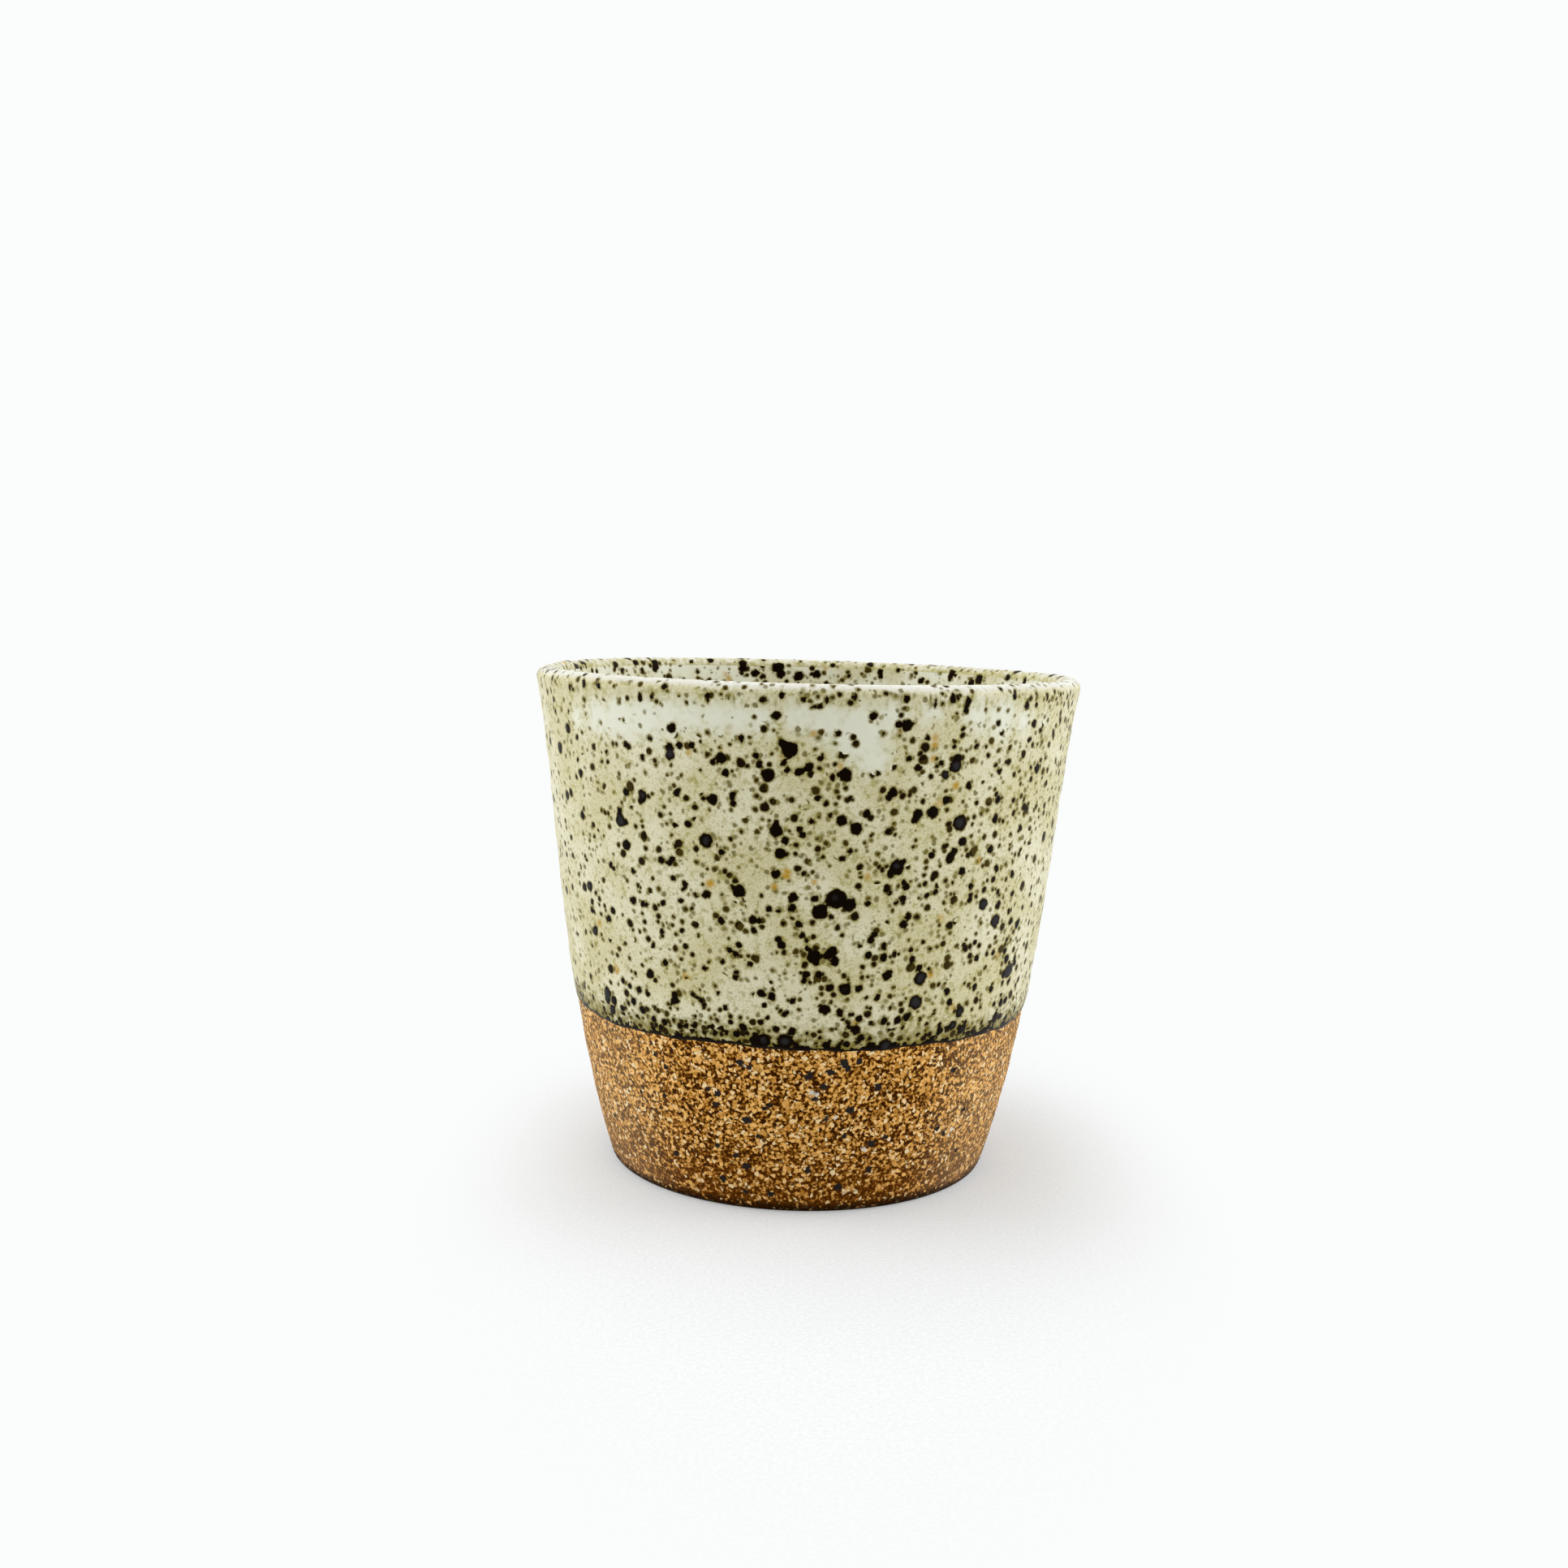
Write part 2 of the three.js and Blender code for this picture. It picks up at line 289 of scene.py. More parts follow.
# Black iron grains and white quartz grains in the bare clay, in the same pixels
BLACK_GRAINS = [
    (912, 1309, 5), (920, 1380, 5.5), (884, 1348, 4.5), (882, 1361, 3.5), (924, 1315, 2.5),
    (996, 1326, 4.5), (1015, 1339, 4.5), (1023, 1322, 4.5), (1041, 1310, 5), (1045, 1317, 4),
    (1059, 1308, 4), (1082, 1339, 4.5), (1048, 1368, 5.5), (1017, 1379, 3.5), (1004, 1354, 4),
    (942, 1366, 3.5), (949, 1362, 3), (1073, 1409, 5), (1091, 1401, 3), (1040, 1400, 3.5),
    (919, 1437, 5), (891, 1452, 4.5), (995, 1442, 4), (1033, 1463, 5), (1071, 1441, 4), (950, 1471, 4),
    (919, 1468, 3.5), (906, 1424, 3.5), (884, 1412, 3.5), (934, 1400, 3), (820, 1315, 3), (872, 1341, 3),
    (833, 1421, 4), (819, 1348, 3), (790, 1345, 2.5), (757, 1374, 3), (807, 1300, 2.5), (1175, 1318, 4),
    (1187, 1367, 3), (1155, 1390, 3.5), (1163, 1397, 3), (1178, 1417, 3), (1195, 1438, 2.5),
]
QUARTZ_GRAINS = [
    (1006, 1349, 3), (1000, 1346, 2), (1065, 1416, 3.5), (1030, 1377, 3), (917, 1313, 2), (908, 1312, 2),
    (1172, 1392, 3), (1168, 1399, 2.5),
]


# Profiles, as radius and height, up the outside, over the lip, down the inside and along the floor

def bezier(handles):
    """A smooth line through the first and last handles, as many close points."""
    shares = np.linspace(0, 1, CURVE_POINTS)
    points = np.repeat(np.array(handles, float)[:, None, :], len(shares), axis=1)
    while len(points) > 1:
        points = points[:-1] + (points[1:] - points[:-1]) * shares[None, :, None]
    return points[0]


def uphill(lean):
    """The way up along a wall that leans out."""
    return np.array([math.sin(lean), math.cos(lean)])


def at_height(line, height):
    """The point of a rising line at a height."""
    return np.array([np.interp(height, line[:, 1], line[:, 0]), height])


def between_heights(line, low, high):
    """The part of a rising line between two heights."""
    inner = line[(line[:, 1] > low) & (line[:, 1] < high)]
    return np.vstack([at_height(line, low), inner, at_height(line, high)])


def coat(line, thickness):
    """The face of a coat on that line, square to it."""
    along = np.gradient(line, axis=0)
    along = along / np.linalg.norm(along, axis=1)[:, None]
    outward = np.column_stack([along[:, 1], -along[:, 0]])
    return line + outward * np.broadcast_to(thickness, len(line))[:, None]


def evenly(line, spacing):
    """The same line with its points an even distance apart."""
    run = np.concatenate([[0], np.cumsum(np.linalg.norm(np.diff(line, axis=0), axis=1))])
    marks = np.linspace(0, run[-1], max(2, round(run[-1] / spacing) + 1))
    return np.column_stack([np.interp(marks, run, line[:, 0]), np.interp(marks, run, line[:, 1])])


def ramp(values, low, high):
    """0 below the low mark, 1 above the high one and a soft rise between."""
    share = np.clip((values - low) / (high - low), 0, 1)
    return share * share * (3 - 2 * share)


lip_radius = LIP_THICKNESS / 2
lip_inset = GLAZE_THICKNESS + lip_radius
lip_centre = np.array([RIM_RADIUS - lip_inset, CUP_HEIGHT - lip_inset])
lip_turn = np.linspace(-LIP_LEAN, math.pi - LIP_LEAN, LIP_POINTS)
clay_lip = lip_centre + lip_radius * np.column_stack([np.cos(lip_turn), np.sin(lip_turn)])

foot_corner = np.array([FOOT_RADIUS, 0])
clay_wall = bezier([
    foot_corner,
    foot_corner + uphill(FOOT_LEAN) * FOOT_SWEEP,
    clay_lip[0] - uphill(LIP_LEAN) * LIP_SWEEP,
    clay_lip[0],
])

floor_height = HOLLOW_DEPTH + FLOOR_THICKNESS
corner_height = floor_height + INNER_CORNER
beside_corner = at_height(clay_wall, corner_height)
corner_rise = at_height(clay_wall, corner_height + 0.1 * MM) - beside_corner
corner_rise = corner_rise / np.linalg.norm(corner_rise)
corner_top = beside_corner - np.array([WALL_THICKNESS, 0])
inner_sweep = (clay_lip[-1][1] - corner_height) / 3
inner_wall = bezier([
    clay_lip[-1],
    clay_lip[-1] - uphill(LIP_LEAN) * inner_sweep,
    corner_top + corner_rise * inner_sweep,
    corner_top,
])
corner_point = corner_top - corner_rise * INNER_CORNER / corner_rise[1]
floor_edge = np.array([corner_point[0] - INNER_CORNER, floor_height])
inner_corner = bezier([corner_top, corner_point, floor_edge])
clay_floor = np.linspace(floor_edge, np.array([0, floor_height]), FLOOR_POINTS)

dipped_clay = np.vstack([between_heights(clay_wall, GLAZE_LINE, clay_lip[0][1]), clay_lip[1:]])
poured_clay = np.vstack([inner_wall, inner_corner[1:], clay_floor[1:]])
edge_share = np.clip((dipped_clay[:, 1] - GLAZE_LINE) / GLAZE_EDGE, 0, 1)
dipped_face = coat(dipped_clay, GLAZE_THICKNESS * np.sqrt(1 - (1 - edge_share) ** 2))
inner_lip = dipped_face[np.argmax(dipped_face[:, 1]):]
poured_face = coat(poured_clay, GLAZE_THICKNESS)
poured_face[-1, 0] = 0


# Places that the photograph shows, found on the cup

camera_turn = (
    Matrix.Rotation(CAMERA_YAW, 3, "Z")
    @ Matrix.Rotation(math.pi / 2 - CAMERA_PITCH, 3, "X")
    @ Matrix.Rotation(CAMERA_ROLL, 3, "Z")
)
FOCAL_PIXELS = PHOTO_PIXELS * LENS / SENSOR_WIDTH


def seen_at(across, down, wall, entering):
    """Where the line of sight through a pixel goes into a turned wall, or comes out of it."""
    middle = PHOTO_PIXELS / 2
    sight = camera_turn @ Vector(((across - middle) / FOCAL_PIXELS, (middle - down) / FOCAL_PIXELS, -1))
    distances = np.linspace(SIGHT_FROM, SIGHT_TO, SIGHT_STEPS)
    places = np.array(CAMERA_PLACE) + distances[:, None] * np.array(sight)
    rising = wall[np.argsort(wall[:, 1])]
    gap = np.hypot(places[:, 0], places[:, 1]) - np.interp(places[:, 2], rising[:, 1], rising[:, 0])
    if not entering:
        gap = -gap
    crossings = np.nonzero((gap[:-1] > 0) & (gap[1:] <= 0))[0]
    return places[crossings[0]], distances[crossings[0]]


def spots_seen(pixels, wall, entering=True):
    """Spots in the photograph as places on a wall, with their radius there."""
    spots = []
    for across, down, radius in pixels:
        place, distance = seen_at(across, down, wall, entering)
        spots.append((place, radius * distance / FOCAL_PIXELS))
    return spots


def dashes_seen(pixels, wall):
    """Upright dashes in the photograph, each as a row of spots that run into each other."""
    beads = []
    for across, down, radius, length in pixels:
        for step in np.linspace(-0.5, 0.5, DASH_SPOTS):
            beads.append((across, down + step * (length - radius), radius))
    return spots_seen(beads, wall)


def scattered_spots(face, count, seed, hidden_only=False):
    """Spots thrown at random on a turned face, some with a smaller one that runs into them."""
    dice = np.random.default_rng(seed)
    middles = (face[1:] + face[:-1]) / 2
    areas = np.linalg.norm(np.diff(face, axis=0), axis=1) * middles[:, 0]
    spots = []
    while len(spots) < count:
        radius, height = middles[dice.choice(len(middles), p=areas / areas.sum())]
        turn = dice.uniform(0, 2 * math.pi)
        size = dice.lognormal(math.log(SPOT_RADIUS), SPOT_SPREAD)
        size = np.clip(size, SMALLEST_SPOT, LARGEST_SPOT) * MM
        place = np.array([radius * math.cos(turn), radius * math.sin(turn), height])
        if hidden_only and place[1] < SEEN_BACK_TO * radius:
            continue
        spots.append((place, size))
        if dice.random() < TWIN_SHARE:
            beside = place + dice.normal(0, TWIN_SHIFT * size, 3)
            spots.append((beside, size * dice.uniform(*TWIN_SIZES)))
    return spots


def distance_to_spots(places, spots):
    """How far each place is outside the nearest spot, below nought inside one.

    Spots that touch flow together.
    """
    total = np.zeros(len(places))
    for centre, radius in spots:
        outside = np.linalg.norm(places - centre, axis=1) - radius
        total += np.exp(-np.clip(outside, -SPOT_FAR, SPOT_FAR) / SPOT_FLOW)
    return -SPOT_FLOW * np.log(total + NEARLY_NOTHING)


# Turning and shaping the pieces

def turned(name, profile, facets):
    """A profile drawn point by point beside the axis, then turned about it."""
    bpy.ops.object.select_all(action="DESELECT")
    bpy.ops.mesh.primitive_plane_add(size=1 * MM)
    piece = bpy.context.object
    piece.name = name
    bpy.ops.object.mode_set(mode="EDIT")
    bpy.ops.mesh.merge(type="CENTER")
    bpy.ops.transform.translate(value=(profile[0][0], 0, profile[0][1]))
    for across, up in np.diff(profile, axis=0):
        bpy.ops.mesh.extrude_region_move(TRANSFORM_OT_translate={"value": (across, 0, up)})
    bpy.ops.object.mode_set(mode="OBJECT")
    wheel = piece.modifiers.new("wheel", "SCREW")
    wheel.steps = facets
    wheel.render_steps = facets
    wheel.use_merge_vertices = True
    wheel.merge_threshold = SEAM_MERGE
    bpy.ops.object.modifier_apply(modifier=wheel.name)
    bpy.ops.object.mode_set(mode="EDIT")
    bpy.ops.mesh.select_all(action="SELECT")
    bpy.ops.mesh.remove_doubles(threshold=DOUBLES_MERGE)
    bpy.ops.mesh.normals_make_consistent(inside=False)
    bpy.ops.object.mode_set(mode="OBJECT")
    return piece


def points_of(piece):
    """All points of the piece."""
    flat = np.empty(len(piece.data.vertices) * 3)
    piece.data.vertices.foreach_get("co", flat)
    return flat.reshape(-1, 3)


def move_points(piece, points):
    """Puts the points of the piece in new places."""
    piece.data.vertices.foreach_set("co", points.ravel())
    piece.data.update()


def note_on_points(piece, name, values):
    """Keeps a number for each point of the piece, for its material to read."""
    note = piece.data.attributes.new(name, "FLOAT", "POINT")
    note.data.foreach_set("value", np.asarray(values, np.float32))


def thrown_by_hand(points):
    """The unevenness that the whole cup shares: a tilted, slightly oval rim and faint throwing rings."""
    across, back, height = points.T
    radius = np.maximum(np.hypot(across, back), TINY)
    turn = np.arctan2(back, across)
    rise = np.clip(height / CUP_HEIGHT, 0, 1)
    tilt = -RIM_TILT * across / RIM_RADIUS * ramp(back, -0.2 * RIM_RADIUS, 0.8 * RIM_RADIUS) * rise ** 2
    oval = RIM_OVAL * np.cos(2 * turn - 1.1) * rise ** 2
    ripple = np.sin(2 * math.pi * height / RIPPLE_PITCH + turn) + 0.6 * np.sin(3 * turn + 41 * rise)
    ripple = THROWING_RIPPLE * ripple * ramp(height, *RIPPLE_STARTS) * (1 - ramp(height, *RIPPLE_FADES))
    growth = 1 + (oval + ripple) * ramp(radius, *UNEVEN_FROM) / radius
    return np.column_stack([across * growth, back * growth, height + tilt])


def waved_line(points):
    """The dip line wanders a little up and down as it goes round."""
    across, back, height = points.T
    turn = np.arctan2(back, across)
    wave = (
        np.sin(3 * turn + 0.6) + 0.7 * np.sin(7 * turn + 2.1)
        + 0.5 * np.sin(16 * turn) + 0.35 * np.sin(37 * turn)
    )
    lift = LINE_WAVE * wave * ramp(-height, -GLAZE_LINE - LINE_WAVE_REACH, -GLAZE_LINE)
    wall_old = np.interp(height, clay_wall[:, 1], clay_wall[:, 0])
    wall_new = np.interp(height + lift, clay_wall[:, 1], clay_wall[:, 0])
    growth = 1 + (wall_new - wall_old) / np.hypot(across, back)
    return np.column_stack([across * growth, back * growth, height + lift])


def raise_blooms(piece, bloom_edge):
    """Lifts the blooms a little out of the glaze."""
    amount = BLOOM_RELIEF * ramp(-bloom_edge, -0.05 * MM, 0.3 * MM)
    normals = np.empty(len(piece.data.vertices) * 3)
    piece.data.vertex_normals.foreach_get("vector", normals)
    move_points(piece, points_of(piece) + normals.reshape(-1, 3) * amount[:, None])


def roughen(piece, amount):
    """Raises fine grit on the piece, as strong at each point as the amount there."""
    grit = piece.vertex_groups.new(name="gritty wall")
    for level in range(1, GRIT_LEVELS + 1):
        members = np.nonzero(np.round(amount * GRIT_LEVELS) == level)[0]
        grit.add(members.tolist(), level / GRIT_LEVELS, "REPLACE")
    grains = bpy.data.textures.new("clay grit", "CLOUDS")
    grains.noise_scale = GRIT_SIZE
    grains.noise_depth = 1
    relief = piece.modifiers.new("grit", "DISPLACE")
    relief.texture = grains
    relief.texture_coords = "LOCAL"
    relief.strength = GRIT_RELIEF
    relief.mid_level = 0.5
    relief.vertex_group = grit.name
    bpy.context.view_layer.objects.active = piece
    bpy.ops.object.modifier_apply(modifier=relief.name)


def smooth(piece):
    """Shades the piece smooth except at its sharp edges."""
    bpy.ops.object.select_all(action="DESELECT")
    piece.select_set(True)
    bpy.context.view_layer.objects.active = piece
    bpy.ops.object.shade_smooth_by_angle(angle=SMOOTH_ANGLE)


def ring_runs(points, shown_line, hidden_line):
    """How far along its line each point sits, from 0 to 1, and whether that line is the one that shows."""
    section = np.column_stack([np.hypot(points[:, 0], points[:, 1]), points[:, 2]])
    lines = np.vstack([shown_line, hidden_line])
    runs = np.concatenate([np.linspace(0, 1, len(shown_line)), np.linspace(0, 1, len(hidden_line))])
    nearest = np.empty(len(section), int)
    at_once = 20000
    for start in range(0, len(section), at_once):
        block = section[start:start + at_once]
        nearest[start:start + at_once] = ((block[:, None, :] - lines[None]) ** 2).sum(axis=2).argmin(axis=1)
    return runs[nearest], (nearest < len(shown_line)).astype(float)


def unroll(piece, run, shown):
    """A map in two rows, one for each half turn, with faces that nothing shows in a strip along the top."""
    mesh = piece.data
    layer = mesh.uv_layers.new(name="OFBake")
    points = points_of(piece)
    corners = np.empty(len(mesh.loops), int)
    mesh.loops.foreach_get("vertex_index", corners)
    faces = np.repeat(np.arange(len(mesh.polygons)), [polygon.loop_total for polygon in mesh.polygons])
    turn = np.arctan2(points[:, 1], points[:, 0])[corners]
    counts = np.bincount(faces)
    middle = np.arctan2(
        np.bincount(faces, points[corners, 1]) / counts,
        np.bincount(faces, points[corners, 0]) / counts,
    )[faces]
    turn = middle + (turn - middle + math.pi) % (2 * math.pi) - math.pi
    shown_face = (np.bincount(faces, shown[corners]) == counts)[faces]
    row = (middle > 0).astype(float)
    half = turn / math.pi + 1 - row
    shown_up = row * MAP_ROW + run[corners] * MAP_ROW_USED
    hidden_up = HIDDEN_STRIP + row * HIDDEN_ROW + run[corners] * HIDDEN_ROW_USED
    across = MAP_MARGIN + (1 - 2 * MAP_MARGIN) * half
    flat = np.column_stack([across, np.where(shown_face, shown_up, hidden_up)])
    layer.data.foreach_set("uv", flat.ravel())
    mesh.uv_layers.active = layer


def settle(piece, node, finish):
    """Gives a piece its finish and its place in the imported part."""
    piece.data.materials.clear()
    piece.data.materials.append(finish)
    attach(piece, "root")
    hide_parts(node)


# The two coats of glaze

def pale_edge(points, turn):
    """How far each point is outside the thick pale glaze: lobes in front, and a waved band behind."""
    lobes = distance_to_spots(points, spots_seen(PALE_LOBES, dipped_face))
    band = CUP_HEIGHT - points[:, 2] - PALE_BAND
    band = 0.5 * (band + PALE_BAND_WAVE * (np.sin(5 * turn) + np.sin(9 * turn + 2)))
    band = np.maximum(band, points[:, 2] - CUP_HEIGHT + SHOULDER_DROP)
    unseen = ramp(points[:, 1], -0.1 * RIM_RADIUS, 0.15 * RIM_RADIUS)
    return lobes + (band - lobes) * unseen


def speck_share(points, turn):
    """How many of the small specks there are, evened out towards the rim and fewer on the crest."""
    crowd = np.interp(np.cos(turn), CROWD_SIDES, CROWD_SHARES)
    upper = ramp(points[:, 2], CUP_HEIGHT - 18 * MM, CUP_HEIGHT - 5 * MM)
    crowd = crowd + (np.minimum(crowd, 1.1) - crowd) * upper
    crest = ramp(points[:, 2], CUP_HEIGHT - 2.5 * MM, CUP_HEIGHT - 0.8 * MM)
    return crowd + (0.75 - crowd) * crest


def over_lip(points):
    """1 on the inner side of the lip and 0 elsewhere."""
    inward = ramp(-np.hypot(points[:, 0], points[:, 1]), -lip_centre[0], -lip_centre[0] + 0.8 * MM)
    return inward * (points[:, 2] > lip_centre[1])


def outer_glaze():
    """The coat that the cup was dipped in, from the glaze line up and over the lip."""
    face = evenly(dipped_face, OUTER_RINGS)
    back = evenly(dipped_clay[::-1], HIDDEN_RINGS)
    piece = turned("dipped_glaze_coat", np.vstack([face, back]), OUTER_FACETS)
    points = points_of(piece)
    turn = np.arctan2(points[:, 1], points[:, 0])
    unroll(piece, *ring_runs(points, face, back[1:-1]))
    seen = BLOOMS_UNDER_RIM + BLOOMS_ACROSS_MIDDLE + BLOOMS_BELOW_MIDDLE
    seen = seen + BLOOMS_ALONG_LINE + SPECKS_ALONG_LINE
    blooms = spots_seen(seen, dipped_face) + dashes_seen(DASHES_UNDER_LIP, dipped_face)
    blooms = blooms + spots_seen(BLOOMS_INSIDE, inner_lip, entering=False)
    blooms = blooms + scattered_spots(dipped_face, *HIDDEN_BLOOMS, hidden_only=True)
    bloom_edge = distance_to_spots(points, blooms)
    stains = spots_seen(RUST_STAINS, dipped_face)
    stains = stains + scattered_spots(dipped_face, *HIDDEN_STAINS, hidden_only=True)
    hearts = spots_seen(METALLIC_HEARTS, dipped_face)
    hearts = hearts + scattered_spots(dipped_face, *HIDDEN_HEARTS, hidden_only=True)
    note_on_points(piece, "bloom_edge", bloom_edge)
    note_on_points(piece, "stain_edge", distance_to_spots(points, stains))
    note_on_points(piece, "heart_edge", distance_to_spots(points, hearts))
    note_on_points(piece, "pale_edge", pale_edge(points, turn))
    note_on_points(piece, "above_line", points[:, 2] - GLAZE_LINE)
    note_on_points(piece, "speck_share", speck_share(points, turn))
    note_on_points(piece, "over_lip", over_lip(points))
    raise_blooms(piece, bloom_edge)
    move_points(piece, thrown_by_hand(waved_line(points_of(piece))))
    smooth(piece)
    settle(piece, "outer_glaze", speckled_glaze("dipped speckled glaze", True))


def liner_glaze():
    """The coat that was poured inside, down the wall and over the floor."""
    face = evenly(poured_face, LINER_RINGS)
    back = evenly(poured_clay[::-1], HIDDEN_RINGS)
    piece = turned("poured_glaze_liner", np.vstack([back, face]), LINER_FACETS)
    points = points_of(piece)
    unroll(piece, *ring_runs(points, face, back))
    blooms = spots_seen(BLOOMS_INSIDE, poured_face, entering=False)
    strip_seen = CUP_HEIGHT - STRIP_SEEN_INSIDE
    for place, size in scattered_spots(poured_face, *LINER_BLOOMS):
        if place[1] < 0 or place[2] < strip_seen:
            blooms.append((place, size))
    bloom_edge = distance_to_spots(points, blooms)
    stains = scattered_spots(poured_face, *LINER_STAINS)
    note_on_points(piece, "bloom_edge", bloom_edge)
    note_on_points(piece, "stain_edge", distance_to_spots(points, stains))
    raise_blooms(piece, bloom_edge)
    move_points(piece, thrown_by_hand(points_of(piece)))
    smooth(piece)
    settle(piece, "liner_glaze", speckled_glaze("poured speckled glaze", False))


# The clay cup

def clay_lines():
    """Lines of the clay: all that shows, what the glaze hides, and the bare outside by itself."""
    hollow = bezier([
        (HOLLOW_RADIUS - HOLLOW_SLOPE, HOLLOW_DEPTH),
        (HOLLOW_RADIUS - HOLLOW_DEPTH, HOLLOW_DEPTH),
        (HOLLOW_RADIUS, 0),
    ])
    hollow_middle = np.linspace((0, HOLLOW_DEPTH), hollow[0], HOLLOW_POINTS)
    ring_edge = np.array([FOOT_RADIUS - FOOT_EDGE_ROUND, 0])
    foot_edge = bezier([ring_edge, foot_corner, at_height(clay_wall, FOOT_EDGE_ROUND)])
    tuck_height = GLAZE_LINE + CLAY_TUCK
    bare_wall = between_heights(clay_wall, FOOT_EDGE_ROUND, tuck_height)
    shown = np.vstack([
        evenly(np.vstack([hollow_middle[:-1], hollow, ring_edge[None]]), UNDERSIDE_RINGS)[:-1],
        evenly(np.vstack([foot_edge, bare_wall[1:]]), CLAY_RINGS),
    ])
    covered = np.vstack([between_heights(clay_wall, tuck_height, clay_lip[0][1]), clay_lip[1:]])
    covered = coat(covered, -CLAY_UNDER_GLAZE)
    lined = coat(poured_clay, -CLAY_UNDER_GLAZE)
    lined[-1, 0] = 0
    hidden = evenly(np.vstack([covered[DRAW_IN_POINTS:], lined[1:]]), HIDDEN_RINGS)
    outside = np.vstack([foot_edge, between_heights(clay_wall, FOOT_EDGE_ROUND, GLAZE_LINE)[1:]])
    return shown, hidden, outside


def stoneware():
    """The thrown cup itself, bare and gritty below the glaze line."""
    shown, hidden, outside = clay_lines()
    piece = turned("stoneware_cup", np.vstack([shown, hidden]), CLAY_FACETS)
    points = points_of(piece)
    unroll(piece, *ring_runs(points, shown, hidden))
    height = points[:, 2]
    radius = np.hypot(points[:, 0], points[:, 1])
    black = spots_seen(BLACK_GRAINS, clay_wall)
    black = black + scattered_spots(outside, *HIDDEN_GRAINS, hidden_only=True)
    quartz = spots_seen(QUARTZ_GRAINS, clay_wall)
    to_side = ramp(np.abs(points[:, 0]) / np.maximum(radius, TINY), 0.4, 0.9)
    note_on_points(piece, "black_edge", distance_to_spots(points, black))
    note_on_points(piece, "quartz_edge", distance_to_spots(points, quartz))
    # The outer edge of the foot, the only place that the painted foot shade darkens
    note_on_points(piece, "outer_edge", ramp(radius, FOOT_RADIUS - 1.1 * MM, FOOT_RADIUS - 0.5 * MM))
    # Painted light: the clay is made paler towards the left and right sides, where the side lamps fall
    note_on_points(piece, "painted_flank_light", to_side * ramp(radius, FOOT_RADIUS - 1.5 * MM, FOOT_RADIUS))
    on_wall = (radius > FOOT_RADIUS - 0.2 * MM) & (height < GLAZE_LINE + 1.3 * MM)
    gritty = on_wall * ramp(height, 0.1 * MM, 0.9 * MM)
    gritty = gritty * ramp(-height, -GLAZE_LINE - 1 * MM, -GLAZE_LINE)
    roughen(piece, gritty)
    move_points(piece, thrown_by_hand(points_of(piece)))
    smooth(piece)
    settle(piece, "stoneware_body", gritty_clay())


# Finishes

